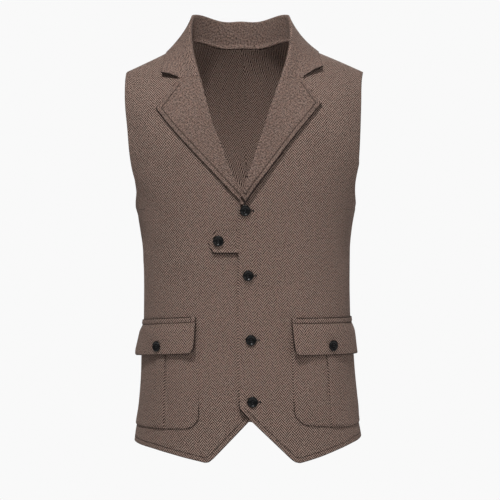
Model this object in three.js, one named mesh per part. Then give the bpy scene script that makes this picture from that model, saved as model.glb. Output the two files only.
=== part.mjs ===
import * as THREE from 'three';

// Suit waistcoat of brown herringbone tweed, worn open at neck, hem and armholes on a general figure.
// Millimetres. +Z is up, the front faces -Y, and +X is the wearer's left.
// The origin lies midway between the two neck points of the shoulder seams, where the shoulders carry it.

// Cloth
const CLOTH = 2.0;             // a front or back panel of tweed with its interlining
const TURNED_CLOTH = 1.8;      // lapels, collar, pockets, flaps and tab
const SEAM_GAP = 0.3;          // daylight between two pieces that are sewn or buttoned together

// The worn form: rings from below the hem to the shoulders
const RINGS = [
  { level: -720, halfWidth: 191, front: 122, back: 118 },
  { level: -660, halfWidth: 185.5, front: 122, back: 118 },
  { level: -600, halfWidth: 176, front: 121, back: 113 },
  { level: -540, halfWidth: 171.5, front: 119, back: 104 },
  { level: -480, halfWidth: 170, front: 117, back: 94 },
  { level: -420, halfWidth: 169.3, front: 117, back: 88 },
  { level: -351, halfWidth: 171, front: 120, back: 91 },
  { level: -320, halfWidth: 174.5, front: 123, back: 96 },
  { level: -285, halfWidth: 181, front: 126.5, back: 103 },
  { level: -226, halfWidth: 199, front: 130.5, back: 111 },
  { level: -163, halfWidth: 213, front: 131, back: 113 },
  { level: -100, halfWidth: 217, front: 131, back: 113 },
  { level: 0, halfWidth: 210, front: 131, back: 113 },
];
const ROUNDNESS = 2.3;         // exponent of each ring: 2 is an ellipse, more is boxier
const CHEST_LEVEL = -200;      // above this level the cloth bends over to the shoulder
const NECK_HALF = 81;          // neck point of the shoulder seam, from the middle
const SHOULDER_HALF = 195;     // shoulder tip, from the middle
const SHOULDER_SLOPE = 0.45;   // fall of the shoulder for each millimetre outwards
const RIDGE_TOP = 30.3;        // height at which the two shoulder slopes would meet
const RIDGE_ROUNDING = 12;     // half the width over which the two slopes round into each other

// Soft hollows of the worn cloth; angles are from the centre front, to the side
const FOLDS = [
  { side: 1, angle: 66, level: -250, long: 70, wide: 9, lean: -14, rise: -2.6 },
  { side: 1, angle: 78, level: -330, long: 80, wide: 10, lean: 10, rise: -2.0 },
  { side: -1, angle: 70, level: -262, long: 55, wide: 8, lean: 12, rise: -2.4 },
  { side: -1, angle: 80, level: -345, long: 75, wide: 9, lean: -8, rise: -1.6 },
  { side: -1, angle: 64, level: -175, long: 38, wide: 5, lean: 6, rise: -1.4 },
  { side: 1, angle: 128, level: -300, long: 90, wide: 9, lean: 14, rise: -2.4 },
  { side: -1, angle: 124, level: -290, long: 85, wide: 10, lean: 16, rise: -2.2 },
  { side: 1, angle: 140, level: -430, long: 60, wide: 13, lean: 18, rise: -2.0 },
  { side: -1, angle: 145, level: -415, long: 55, wide: 12, lean: 20, rise: -2.2 },
];

// The front and the neck hang a little askew: they swing to one side from neck to hem
const SWING_AT_NECK = -8;
const SWING_PER_MM = 0.0285;
const SWING_FADE = { behind: 30, before: 70 };  // depth over which the front's swing fades in
const NECK_SWING_FADE = { low: -70, high: -5, near: 95, far: 180 };

// Outlines seen from the front: across (from the centre line, towards the piece's own side) and height
const WEARERS_LEFT = {
  side: 1,
  name: 'left',
  frontEdge: [
    { across: -19.5, height: -720 },
    { across: -19.5, height: -560 },
    { across: -17.6, height: -462 },
    { across: -14, height: -367 },
    { across: -11, height: -300 },
  ],
  rollLine: [
    { across: -8.6, height: -278.5 },
    { across: -3.8, height: -258 },
    { across: 6.5, height: -228 },
    { across: 18.5, height: -196 },
    { across: 28.7, height: -169 },
    { across: 39.5, height: -137 },
    { across: 51.5, height: -105 },
    { across: 61.5, height: -76 },
  ],
  neckLine: [
    { across: 72, height: -45 },
    { across: 77.5, height: -22 },
  ],
  lapelEdge: [
    { across: -1, height: -278.5 },
    { across: 16.9, height: -253 },
    { across: 38.2, height: -226 },
    { across: 59.6, height: -198 },
    { across: 81, height: -171 },
    { across: 102.6, height: -145 },
    { across: 124.5, height: -119 },
  ],
  notch: { across: 96.5, height: -76.5 },
  collarCorner: { across: 127.5, height: -61 },
  hemCorner: { across: -19.5, height: -604 },
  hemTipAngle: 29.8,
  hemRise: 9.5,
  pocket: {
    inner: 67,
    strip: 128,
    outerAngle: 90,
    bottom: { inner: -628.4, middle: -635.5, side: -625.5 },
    flapTop: -459,
    flapFall: 60,
    flapInset: { top: 0, bottom: 0.5 },
    flapFlare: 1.8,
    sideDrop: 0.4,
    buttonHeight: -504,
  },
};
const WEARERS_RIGHT = {
  side: -1,
  name: 'right',
  frontEdge: [
    { across: -16, height: -720 },
    { across: -16, height: -560 },
    { across: -15, height: -462 },
    { across: -13, height: -367 },
    { across: -10, height: -300 },
  ],
  rollLine: [
    { across: -2, height: -272 },
    { across: 8.4, height: -254 },
    { across: 21.8, height: -225 },
    { across: 35, height: -190 },
    { across: 46.8, height: -158 },
    { across: 57, height: -120 },
    { across: 67, height: -76 },
  ],
  neckLine: [
    { across: 75.5, height: -42 },
    { across: 79, height: -17 },
  ],
  lapelEdge: [
    { across: 4.5, height: -279 },
    { across: 24.3, height: -257.8 },
    { across: 47.3, height: -232.5 },
    { across: 70.4, height: -207 },
    { across: 93.5, height: -181.5 },
    { across: 117, height: -154 },
    { across: 138.5, height: -125.6 },
  ],
  notch: { across: 100.5, height: -77 },
  collarCorner: { across: 127.5, height: -71 },
  hemCorner: { across: -16, height: -602 },
  hemTipAngle: 31.1,
  hemRise: -4,
  pocket: {
    inner: 83.5,
    strip: 142.6,
    outerAngle: 94,
    bottom: { inner: -635.2, middle: -638.3, side: -637.3 },
    flapTop: -456.8,
    flapFall: 59.2,
    flapInset: { top: 1, bottom: 1 },
    flapFlare: 4.6,
    sideDrop: 9.4,
    buttonHeight: -506,
  },
};

// Armhole and side seam
const SIDE_SEAM_ANGLE = 98;
const ARMPIT_LEVEL = -285;
const ARMHOLE_FOOT_TOP = -226; // the armhole's rounded foot ends here
const ARMHOLE_FOOT_ROUNDNESS = 2.2;
const ARMHOLE_FRONT = [
  { across: 182.5, height: -226 },
  { across: 188.5, height: -163 },
  { across: 192.5, height: -98 },
];
const ARMHOLE_BACK = [
  { across: 176, height: -226 },
  { across: 184, height: -163 },
  { across: 190, height: -98 },
];

// Hem, by angle from the centre front; beside the side seams each half hangs a little higher or lower
const HEM = [
  { angle: 33, level: -689.5 },
  { angle: 46, level: -681.5 },
  { angle: 57.5, level: -673.5 },
  { angle: 69, level: -667 },
  { angle: 90, level: -661.5 },
  { angle: 110, level: -660 },
  { angle: 140, level: -656 },
  { angle: 180, level: -645 },
];
const HEM_RISE_ANGLES = { tip: 33, full: 88, behind: 105, gone: 180 };
const LOWEST_STRAIGHT_ROW = -590;

// Back neck: how far below the ridge, on the form, the neck line dips at the centre back
const BACK_NECK_DIP = 71;
const BACK_NECK_ROUNDNESS = 2.4;

// Overlap at the closing
const UNDERLAP_LIFT = CLOTH + SEAM_GAP + 0.1;
const LAPEL_UNDERLAP_LIFT = UNDERLAP_LIFT + TURNED_CLOTH + 0.5;
const OVERLAP_LANDING = { near: 16, far: 62 };      // across: there the upper front comes down on the form
const OVER_THE_TAB = { low: -415, high: -385 };     // heights: there it begins to rise over tab and lapel
const OVERLAP_TOP = { low: -250, high: -190 };      // heights: there the overlap ends

// Turned-back fold of lapels and collar
const FOLD_AT_CLOSING = 1.25;  // radius of the fold where the lapels meet
const FOLD_AT_NECK = 3.0;      // and from the gorge seam round the neck
const ROLL_FADE = 26;          // the turned cloth lies down flat over this far from its fold
const LAPEL_CLEARANCE = 0.9;   // and then this far above the panel
const FOLD_ROOM = 0.85;        // from the foot of the fold to the edge of the panel that it turns over
const GORGE_BEND = 3;          // how late the lines of the lapel turn towards the notch

// Collar: it stands up from the neck line, turns over and falls on the shoulders
const STAND_AT_GORGE = 0.3;
const STAND_AT_SHOULDER = 38;
const STAND_AT_BACK = 38;
const STAND_LEAN = 0.14;       // the stand leans in towards the neck
const STAND_GROWTH = 1.6;
const COLLAR_EDGE_AT_SHOULDER = 123;
const COLLAR_EDGE_AT_BACK = -93;
const COLLAR_HOLLOW = 10;      // the leaf curves in a little between its fold and its edge

// Pockets and flaps
const POCKET_TOP = -484;
const POCKET_CORNER = 22;
const POCKET_BELLY = 1.2;
const POCKET_BORDER = 28;      // the belly rises over this far from the stitched edges
const POCKET_ROWS = [0, 0.207, 0.44, 0.707, 0.84, 0.93, 1];
const POCKET_CORNER_PLACES = [0, 1.2, 5, 11, POCKET_CORNER];
const STRIP_HALF = 10;         // half the width of the box pleat
const STRIP_STEP = 1.6;
const STRIP_RISE = { top: 0.6, bottom: 1.8 };
const FLAP_CORNER = 11;
const FLAP_INSET_FADE = 30;    // the slant of the flap's inner edge fades out over this width
const FLAP_CORNER_PLACES = [0, 1, 4, FLAP_CORNER];
const FLAP_FLARE_ANGLES = { from: 45, to: 90 };  // a flap stands out further towards the side
const FLAP_ROWS = [             // below: millimetres down a flap that falls 55 mm
  { below: 0, lift: 2.1 },
  { below: 7, lift: 2.3 },
  { below: 8.5, lift: 1.7 },
  { below: 10.5, lift: 2.5 },
  { below: 22, lift: 6.4 },
  { below: 38, lift: 7.8 },
  { below: 55, lift: 8.8 },
];

// Tab at the chest, on the wearer's right front; across is towards the wearer's right
const TAB = {
  tuckedEnd: 9,
  top: -319.5,
  bottom: -357,
  shoulder: 48.5,
  point: { across: 61, height: -340 },
  brow: -330,
  foot: 54.5,
  columns: 6,
};

// Buttons
const BUTTON = {
  radius: 9,
  back: 7.6,
  rim: 6.8,
  floor: 5.4,
  edge: 0.9,
  thick: 3.4,
  dish: 1.1,
  shank: 0.5,
  sides: 18,
};
const FRONT_BUTTONS = [
  { across: -1.1, height: -288.5 },
  { across: 0.6, height: -391.4 },
  { across: 2.2, height: -494.1 },
  { across: 1.7, height: -591.7 },
];
const TAB_BUTTON = { across: 44.6, height: -336.3 };

// Finishes
const TWEED = new THREE.MeshStandardMaterial({ color: 0x6b5a53, roughness: 0.95, metalness: 0 });
const TWEED_LAPEL = new THREE.MeshStandardMaterial({ color: 0x77655d, roughness: 0.95, metalness: 0 });
const HORN = new THREE.MeshStandardMaterial({ color: 0x15151a, roughness: 0.25, metalness: 0 });

const DEGREE = Math.PI / 180;

// Helpers

/** Value between two limits as a share that eases in and out. */
function smooth(from, to, value) {
  const share = Math.min(1, Math.max(0, (value - from) / (to - from)));
  return share * share * (3 - 2 * share);
}

function mix(from, to, share) {
  return from + (to - from) * share;
}

function shares(count) {
  return Array.from({ length: count + 1 }, (_, index) => index / count);
}

/** Reads a column of a table between its rows, along a curve that never overshoots. */
function readTable(rows, key, column, value) {
  const last = rows.length - 1;
  if (value <= rows[0][key]) return rows[0][column];
  if (value >= rows[last][key]) return rows[last][column];
  const slope = (row) => (rows[row + 1][column] - rows[row][column]) / (rows[row + 1][key] - rows[row][key]);
  const tangent = (row) => {
    if (row === 0) return slope(0);
    if (row === last) return slope(last - 1);
    const before = slope(row - 1);
    const after = slope(row);
    return before * after > 0 ? (2 * before * after) / (before + after) : 0;
  };
  let row = 0;
  while (value > rows[row + 1][key]) row += 1;
  const span = rows[row + 1][key] - rows[row][key];
  const t = (value - rows[row][key]) / span;
  const back = 1 - t;
  return rows[row][column] * (1 + 2 * t) * back * back
    + span * tangent(row) * t * back * back
    + rows[row + 1][column] * t * t * (3 - 2 * t)
    - span * tangent(row + 1) * t * t * back;
}

// The worn form. A mark on it is an angle from the centre front, in degrees, and a level.

function ridgeHeight(across) {
  return RIDGE_TOP - SHOULDER_SLOPE * Math.hypot(across, RIDGE_ROUNDING);
}

/** Soft hollows of the cloth: each is a bell along its own leaning line. */
function foldRise(angle, level) {
  let rise = 0;
  for (const fold of FOLDS) {
    const along = (level - fold.level) / fold.long;
    const beside = (angle * fold.side - fold.angle - fold.lean * along) / fold.wide;
    rise += fold.rise * Math.exp(-along * along * 2 - beside * beside);
  }
  return rise;
}

/** Point on the outer face of the cloth. */
function skin(angle, level) {
  const halfWidth = readTable(RINGS, 'level', 'halfWidth', level);
  const sine = Math.sin(angle * DEGREE);
  const cosine = Math.cos(angle * DEGREE);
  const depth = readTable(RINGS, 'level', cosine >= 0 ? 'front' : 'back', level);
  const sum = Math.abs(cosine / depth) ** ROUNDNESS + Math.abs(sine / halfWidth) ** ROUNDNESS;
  const radius = sum ** (-1 / ROUNDNESS) + foldRise(angle, level);
  const x = radius * sine;
  const y = -radius * cosine;
  if (level < CHEST_LEVEL) return new THREE.Vector3(x, y, level);
  const bend = (1 - level / CHEST_LEVEL) * 90 * DEGREE;
  return new THREE.Vector3(
    x,
    y * Math.cos(bend),
    CHEST_LEVEL + (ridgeHeight(x) - CHEST_LEVEL) * Math.sin(bend),
  );
}

function outward(angle, level) {
  const step = 0.2;
  const around = skin(angle + step, level).sub(skin(angle - step, level));
  const up = skin(angle, level + step).sub(skin(angle, level - step));
  return around.cross(up).normalize();
}

/** Point lifted off the outer face by some millimetres. */
function lifted(mark, lift) {
  return skin(mark.angle, mark.level).addScaledVector(outward(mark.angle, mark.level), lift);
}

/** Front and neck swing a little to one side between neck and hem. */
function hang(point) {
  const swing = SWING_AT_NECK - SWING_PER_MM * point.z;
  const front = smooth(-SWING_FADE.behind, SWING_FADE.before, -point.y);
  const { low, high, near, far } = NECK_SWING_FADE;
  const neck = smooth(low, high, point.z) * (1 - smooth(near, far, Math.abs(point.x)));
  return new THREE.Vector3(point.x + swing * mix(front, 1, neck), point.y, point.z);
}

/** Angle of a point on a ring, from its distance across. */
function angleAcross(across, level, facing) {
  const halfWidth = readTable(RINGS, 'level', 'halfWidth', level);
  const depth = readTable(RINGS, 'level', facing, level);
  const rest = Math.max(0, 1 - Math.abs(across / halfWidth) ** ROUNDNESS);
  const angle = Math.atan2(across, depth * rest ** (1 / ROUNDNESS)) / DEGREE;
  return facing === 'front' ? angle : 180 - angle;
}

/** Mark of a point seen from the front or the back, from its distance across and its height. */
function markAt({ across, height }, facing = 'front') {
  let level = height;
  if (height > CHEST_LEVEL) {
    const share = (height - CHEST_LEVEL) / (ridgeHeight(across) - CHEST_LEVEL);
    level = CHEST_LEVEL * (1 - Math.asin(Math.min(1, share)) / (90 * DEGREE));
  }
  return { angle: angleAcross(across, level, facing), level };
}

function mixMarks(from, to, share) {
  return { angle: mix(from.angle, to.angle, share), level: mix(from.level, to.level, share) };
}

function distance(from, to) {
  return skin(from.angle, from.level).distanceTo(skin(to.angle, to.level));
}

/** Degrees round the form that some millimetres make at a mark. */
function degreesFor(length, mark) {
  return length / distance(mark, { angle: mark.angle + 1, level: mark.level });
}

/** Mark on a piece's own side of the garment. */
function onSide(side, mark) {
  return { angle: side * mark.angle, level: mark.level };
}

// Solids

/** Geometry whose triangles are turned over if they enclose a negative volume. */
function facingOut(positions, indices) {
  const corner = (index) => new THREE.Vector3().fromArray(positions, index * 3);
  let volume = 0;
  for (let index = 0; index < indices.length; index += 3) {
    const [a, b, c] = [0, 1, 2].map((step) => corner(indices[index + step]));
    volume += a.dot(b.cross(c));
  }
  const turned = [];
  for (let index = 0; index < indices.length; index += 3) {
    const [a, b, c] = indices.slice(index, index + 3);
    turned.push(...(volume > 0 ? [a, b, c] : [a, c, b]));
  }
  const geometry = new THREE.BufferGeometry();
  geometry.setAttribute('position', new THREE.Float32BufferAttribute(positions, 3));
  geometry.setIndex(turned);
  geometry.computeVertexNormals();
  return geometry;
}

/** Closed solid between two grids of points that match row by row. */
function closedWall(outer, inner) {
  const rows = outer.length;
  const columns = outer[0].length;
  const positions = [];
  for (const grid of [outer, inner]) {
    for (const row of grid) {
      for (const point of row) positions.push(...hang(point).toArray());
    }
  }
  const at = (face, row, column) => (face * rows + row) * columns + column;
  const indices = [];
  for (let row = 0; row + 1 < rows; row += 1) {
    for (let column = 0; column + 1 < columns; column += 1) {
      const corners = [[row, column], [row, column + 1], [row + 1, column + 1], [row + 1, column]];
      const [a, b, c, d] = corners.map(([r, k]) => at(0, r, k));
      const [e, f, g, h] = corners.map(([r, k]) => at(1, r, k));
      indices.push(a, b, c, a, c, d, e, g, f, e, h, g);
    }
  }
  const border = [];
  for (let column = 0; column + 1 < columns; column += 1) border.push([0, column]);
  for (let row = 0; row + 1 < rows; row += 1) border.push([row, columns - 1]);
  for (let column = columns - 1; column > 0; column -= 1) border.push([rows - 1, column]);
  for (let row = rows - 1; row > 0; row -= 1) border.push([row, 0]);
  border.forEach(([row, column], index) => {
    const [nextRow, nextColumn] = border[(index + 1) % border.length];
    const [a, b] = [at(0, nextRow, nextColumn), at(0, row, column)];
    const [c, d] = [at(1, row, column), at(1, nextRow, nextColumn)];
    indices.push(a, b, c, a, c, d);
  });
  return facingOut(positions, indices);
}

/** Solid of even thickness round a grid of points in the middle of the cloth. */
function thickSheet(grid, thickness) {
  const last = { row: grid.length - 1, column: grid[0].length - 1 };
  const shift = (sign) => grid.map((line, row) => line.map((point, column) => {
    const right = line[Math.min(last.column, column + 1)];
    const left = line[Math.max(0, column - 1)];
    const above = grid[Math.min(last.row, row + 1)][column];
    const below = grid[Math.max(0, row - 1)][column];
    const normal = right.clone().sub(left).cross(above.clone().sub(below)).normalize();
    return point.clone().addScaledVector(normal, sign * thickness / 2);
  }));
  return closedWall(shift(1), shift(-1));
}

/** Panel that follows the form: markOf gives each grid point, liftOf the lift of its outer face. */
function panel(rows, columns, markOf, liftOf) {
  const grid = rows.map((row) => columns.map((column) => markOf(row, column)));
  const face = (depth) => grid.map((line) => line.map((mark) => lifted(mark, liftOf(mark) - depth)));
  return closedWall(face(0), face(CLOTH));
}

// Outlines of fronts and backs

/** Lift of the wearer's left front, which closes over the right one. */
function overlapLift(side, mark) {
  if (side < 0) return 0;
  const { x, z } = skin(mark.angle, mark.level);
  const under = mix(UNDERLAP_LIFT, LAPEL_UNDERLAP_LIFT, smooth(OVER_THE_TAB.low, OVER_THE_TAB.high, z));
  const landing = smooth(OVERLAP_LANDING.near, OVERLAP_LANDING.far, x);
  return under * (1 - landing) * (1 - smooth(OVERLAP_TOP.low, OVERLAP_TOP.high, z));
}

/** Radius of the turned-back fold at a level. */
function foldRadius(front, level) {
  const bottom = front.rollLine[0].height;
  const top = front.rollLine[front.rollLine.length - 1].height;
  return mix(FOLD_AT_CLOSING, FOLD_AT_NECK, smooth(bottom, top, level));
}

/** Marks of front edge, roll line and neck line, from the hem to the shoulder seam. */
function innerLine(front) {
  const marks = [...front.frontEdge, ...front.rollLine, ...front.neckLine].map((row) => markAt(row));
  return [...marks, { angle: angleAcross(NECK_HALF, 0, 'front'), level: 0 }];
}

/** Inner edge of a front panel, set back where a lapel or the collar turns over it. */
function innerAngle(front, level) {
  const angle = readTable(innerLine(front), 'level', 'angle', level);
  const bottom = front.rollLine[0].height;
  const setBack = (foldRadius(front, level) + FOLD_ROOM) * smooth(bottom - 7, bottom - 1, level);
  return angle + degreesFor(setBack, { angle, level });
}

/** Side seam below the armpit; above it the armhole, with an oval foot. */
function outerAngle(marks, facing, level) {
  if (level <= ARMPIT_LEVEL) return SIDE_SEAM_ANGLE;
  const upper = [...marks, { angle: angleAcross(SHOULDER_HALF, 0, facing), level: 0 }];
  if (level >= ARMHOLE_FOOT_TOP) return readTable(upper, 'level', 'angle', level);
  const rest = 1 - (level - ARMPIT_LEVEL) / (ARMHOLE_FOOT_TOP - ARMPIT_LEVEL);
  const spread = (1 - rest ** ARMHOLE_FOOT_ROUNDNESS) ** (1 / ARMHOLE_FOOT_ROUNDNESS);
  return mix(SIDE_SEAM_ANGLE, upper[0].angle, spread);
}

const FRONT_ARMHOLE_MARKS = ARMHOLE_FRONT.map((row) => markAt(row, 'front'));
const BACK_ARMHOLE_MARKS = ARMHOLE_BACK.map((row) => markAt(row, 'back'));
const SEAM_DEGREES = degreesFor(SEAM_GAP / 2, { angle: SIDE_SEAM_ANGLE, level: ARMPIT_LEVEL });
const SHOULDER_SEAM_LEVEL = -0.35;

// Columns of the panels, and sections of half the collar between shoulder seam and centre back
const COLUMNS_TO_TIP = 6;
const COLUMNS_TO_SIDE_SEAM = 11;
const STATIONS_BEHIND = 7;
const COLUMNS_UNDER_SHOULDER = 7;

// Rows of the panels: shares of the way up from the hem, then straight levels
const ROWS_IN_HEM = [0, 0.35, 0.7];
const LEVELS_TO_ARMPIT = [LOWEST_STRAIGHT_ROW, -550, -515, -480, -445, -410, -375, -340, -310, ARMPIT_LEVEL];
const LEVELS_OF_ARMHOLE = [-283.8, -280, -272, -258, -242, ARMHOLE_FOOT_TOP, -195, -163, -130, -98];
const LEVELS_OF_SHOULDER = [-76.5, -52, -26, SHOULDER_SEAM_LEVEL];

/** Level of the hem at an angle, on the wearer's left or right half. */
function hemLevel(half, angle) {
  const { tip, full, behind, gone } = HEM_RISE_ANGLES;
  const share = smooth(tip, full, angle) * (1 - smooth(behind, gone, angle));
  return readTable(HEM, 'angle', 'level', angle) + half.hemRise * share;
}

/** Inner and outer edge of a front panel at a level, and its columns, one of which runs to the hem's tip. */
function frontFrame(front) {
  const right = (level) => outerAngle(FRONT_ARMHOLE_MARKS, 'front', level) - SEAM_DEGREES;
  const left = (level) => innerAngle(front, level);
  const tip = { angle: front.hemTipAngle, level: HEM[0].level };
  const tipShare = (tip.angle - left(tip.level)) / (right(tip.level) - left(tip.level));
  const columns = [
    ...shares(COLUMNS_TO_TIP).map((share) => share * tipShare),
    ...shares(COLUMNS_TO_SIDE_SEAM).slice(1).map((share) => mix(tipShare, 1, share)),
  ];
  return { left, right, tip, columns };
}

/** Front panel, from hem to shoulder and from the front edge to side seam and armhole. */
function frontPanel(front) {
  const { left, right, tip, columns } = frontFrame(front);
  const corner = front.hemCorner;
  const hemOf = (angle) => {
    if (angle >= tip.angle) return hemLevel(front, angle);
    const reach = skin(tip.angle, tip.level).x - corner.across;
    return mix(corner.height, tip.level, (skin(angle, tip.level).x - corner.across) / reach);
  };
  const rows = [
    ...ROWS_IN_HEM.map((share) => ({ share })),
    ...[...LEVELS_TO_ARMPIT, ...LEVELS_OF_ARMHOLE, ...LEVELS_OF_SHOULDER].map((level) => ({ level })),
  ];
  const markOf = ({ share, level }, column) => {
    if (share === undefined) return { angle: mix(left(level), right(level), column), level };
    const foot = mix(left(tip.level), right(tip.level), column);
    const head = mix(left(LOWEST_STRAIGHT_ROW), right(LOWEST_STRAIGHT_ROW), column);
    return { angle: mix(foot, head, share), level: mix(hemOf(foot), LOWEST_STRAIGHT_ROW, share) };
  };
  return panel(
    rows,
    columns,
    (row, column) => onSide(front.side, markOf(row, column)),
    (mark) => overlapLift(front.side, mark),
  );
}

/** Neck line and collar edge behind, from the shoulder seam (0) to the centre back (1). */
function backNeck(share) {
  const across = Math.cos(share * 90 * DEGREE);
  const dip = 1 - across ** BACK_NECK_ROUNDNESS;
  const at = (width, level) => ({ angle: angleAcross(width * across, level, 'back'), level });
  return {
    neck: at(NECK_HALF, -BACK_NECK_DIP * dip),
    edge: at(COLLAR_EDGE_AT_SHOULDER, COLLAR_EDGE_AT_BACK * dip),
  };
}

/** Back panel of one half, from the centre back seam to side seam and armhole. */
function backPanel(half) {
  const centre = 180 - degreesFor(SEAM_GAP / 2, { angle: 180, level: ARMPIT_LEVEL });
  const outer = (level) => outerAngle(BACK_ARMHOLE_MARKS, 'back', level) + SEAM_DEGREES;
  const underNeck = LEVELS_OF_ARMHOLE[LEVELS_OF_ARMHOLE.length - 1];
  const setBack = (share) => {
    const { neck, edge } = backNeck(share);
    const mark = mixMarks(neck, edge, (FOLD_AT_NECK + FOLD_ROOM) / distance(neck, edge));
    return { angle: Math.min(centre, mark.angle), level: Math.min(SHOULDER_SEAM_LEVEL, mark.level) };
  };
  const neckShare = (centre - setBack(0).angle) / (centre - outer(0));
  const columns = [
    ...shares(STATIONS_BEHIND).map((share) => share * neckShare),
    ...shares(COLUMNS_UNDER_SHOULDER).slice(1).map((share) => mix(neckShare, 1, share)),
  ];
  const rows = [
    ...ROWS_IN_HEM.slice(0, 2).map((hem) => ({ hem })),
    ...[...LEVELS_TO_ARMPIT, ...LEVELS_OF_ARMHOLE].map((level) => ({ level })),
    ...[0.35, 0.7, 1].map((top) => ({ top })),
  ];
  const markOf = ({ hem, top, level }, column) => {
    if (level !== undefined) return { angle: mix(centre, outer(level), column), level };
    if (hem !== undefined) {
      const angle = mix(centre, outer(LOWEST_STRAIGHT_ROW), column);
      return { angle, level: mix(hemLevel(half, angle), LOWEST_STRAIGHT_ROW, hem) };
    }
    if (column <= neckShare) {
      const from = { angle: mix(centre, outer(underNeck), column), level: underNeck };
      return mixMarks(from, setBack(1 - column / neckShare), top);
    }
    const height = mix(underNeck, SHOULDER_SEAM_LEVEL, top);
    return { angle: mix(centre, outer(height), column), level: height };
  };
  return panel(rows, columns, (row, column) => onSide(half.side, markOf(row, column)), () => 0);
}

// Turned-back pieces

/** Path over the form through a few marks, read by the share of its length. */
function pathThrough(marks) {
  const lengths = marks.slice(1).map((mark, index) => distance(marks[index], mark));
  const total = lengths.reduce((sum, length) => sum + length, 0);
  const read = (share) => {
    let rest = share * total;
    let index = 0;
    while (index < lengths.length - 1 && rest > lengths[index]) {
      rest -= lengths[index];
      index += 1;
    }
    return mixMarks(marks[index], marks[index + 1], rest / lengths[index]);
  };
  return { total, firstShare: lengths[0] / total, read };
}

/** Places across a turned-back piece: the shares before and after the notch. */
function leafShares(notchShare) {
  return [
    ...[0.3, 0.65, 1].map((share) => share * notchShare),
    ...[0.34, 0.67, 1].map((share) => mix(notchShare, 1, share)),
  ];
}

const LOWER_FOLD = [-90, -45, 0];
const UPPER_FOLD = [45, 90];
const ROLL_REST = LAPEL_CLEARANCE + TURNED_CLOTH / 2;

/** Height of turned cloth over the panel under it, at a distance from the roll line. */
function rollLift(radius, along) {
  const high = 2 * radius - CLOTH / 2;
  return mix(high, ROLL_REST, smooth(radius, ROLL_FADE, along));
}

/** Lapel: it rolls over the edge of its front and lies on it. */
function lapel(front) {
  const roll = front.rollLine;
  const edge = front.lapelEdge;
  const gorge = markAt(roll[roll.length - 1]);
  const tip = markAt(edge[edge.length - 1]);
  const top = pathThrough([gorge, markAt(front.notch), tip]);
  const line = innerLine(front);
  const bottom = roll[0].height;
  const panelLevels = LEVELS_OF_ARMHOLE.filter((level) => level > bottom + 3 && level < gorge.level - 3);
  const knots = [bottom, ...panelLevels, gorge.level];
  const levels = knots.flatMap((level, index) => (
    level > ARMHOLE_FOOT_TOP - 1 && index > 0 ? [mix(knots[index - 1], level, 0.5), level] : [level]
  ));
  const grid = levels.map((level) => {
    const row = (level - bottom) / (gorge.level - bottom);
    const start = { angle: readTable(line, 'level', 'angle', level), level };
    const height = mix(edge[0].height, edge[edge.length - 1].height, row);
    const end = markAt({ across: readTable(edge, 'height', 'across', height), height });
    const radius = foldRadius(front, start.level);
    const bend = row ** GORGE_BEND;
    const length = mix(distance(start, end), top.total, bend);
    const markOf = (share) => {
      const flat = mixMarks(start, end, share);
      const turned = top.read(share);
      const chord = mixMarks(gorge, tip, share);
      return onSide(front.side, {
        angle: flat.angle + bend * (turned.angle - chord.angle),
        level: flat.level + bend * (turned.level - chord.level) - SEAM_GAP / 2,
      });
    };
    const place = (along, lift) => {
      const mark = markOf(along / length);
      return lifted(mark, overlapLift(front.side, mark) + lift);
    };
    return [
      ...[...LOWER_FOLD, ...UPPER_FOLD].map((turn) => place(
        radius * (1 - Math.cos(turn * DEGREE)),
        radius - CLOTH / 2 + radius * Math.sin(turn * DEGREE),
      )),
      ...leafShares(top.firstShare).map((share) => {
        const along = mix(radius, length, share);
        return place(along, rollLift(radius, along));
      }),
    ];
  });
  return thickSheet(grid, TURNED_CLOTH);
}

/** One section of the collar: foot, stand, fold and leaf. */
function collarSection({ neck, edge, stand, upright, hug, notchShare, total, read }) {
  const radius = FOLD_AT_NECK;
  const foot = LOWER_FOLD.map((turn) => lifted(
    read((radius * (1 - Math.cos(turn * DEGREE))) / total),
    radius - CLOTH / 2 + radius * Math.sin(turn * DEGREE),
  ));
  const base = foot[foot.length - 1];
  const straight = outward(neck.angle, neck.level).lerp(new THREE.Vector3(0, 0, 1), upright).normalize();
  const towards = lifted(edge, 0).sub(base);
  const across = towards.clone().addScaledVector(straight, -towards.dot(straight)).normalize();
  const up = straight.addScaledVector(across, -STAND_LEAN * upright).normalize();
  const out = towards.addScaledVector(up, -towards.dot(up)).normalize();
  const top = base.clone().addScaledVector(up, stand);
  const fold = UPPER_FOLD.map((turn) => top.clone()
    .addScaledVector(out, radius * (1 - Math.cos(turn * DEGREE)))
    .addScaledVector(up, radius * Math.sin(turn * DEGREE)));
  const start = fold[fold.length - 1];
  const end = lifted(edge, ROLL_REST + (1 - hug));
  const hollow = start.clone().lerp(end, 0.5).addScaledVector(out, -COLLAR_HOLLOW);
  const drop = new THREE.QuadraticBezierCurve3(start, hollow, end);
  const leaf = leafShares(notchShare).map((share) => {
    const along = mix(radius, total, share);
    const lying = lifted(read(along / total), rollLift(radius, along) + stand * (1 - share) * hug);
    return drop.getPoint(share).lerp(lying, hug);
  });
  return [...foot, base.clone().lerp(top, 0.5), top, ...fold, ...leaf];
}

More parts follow.
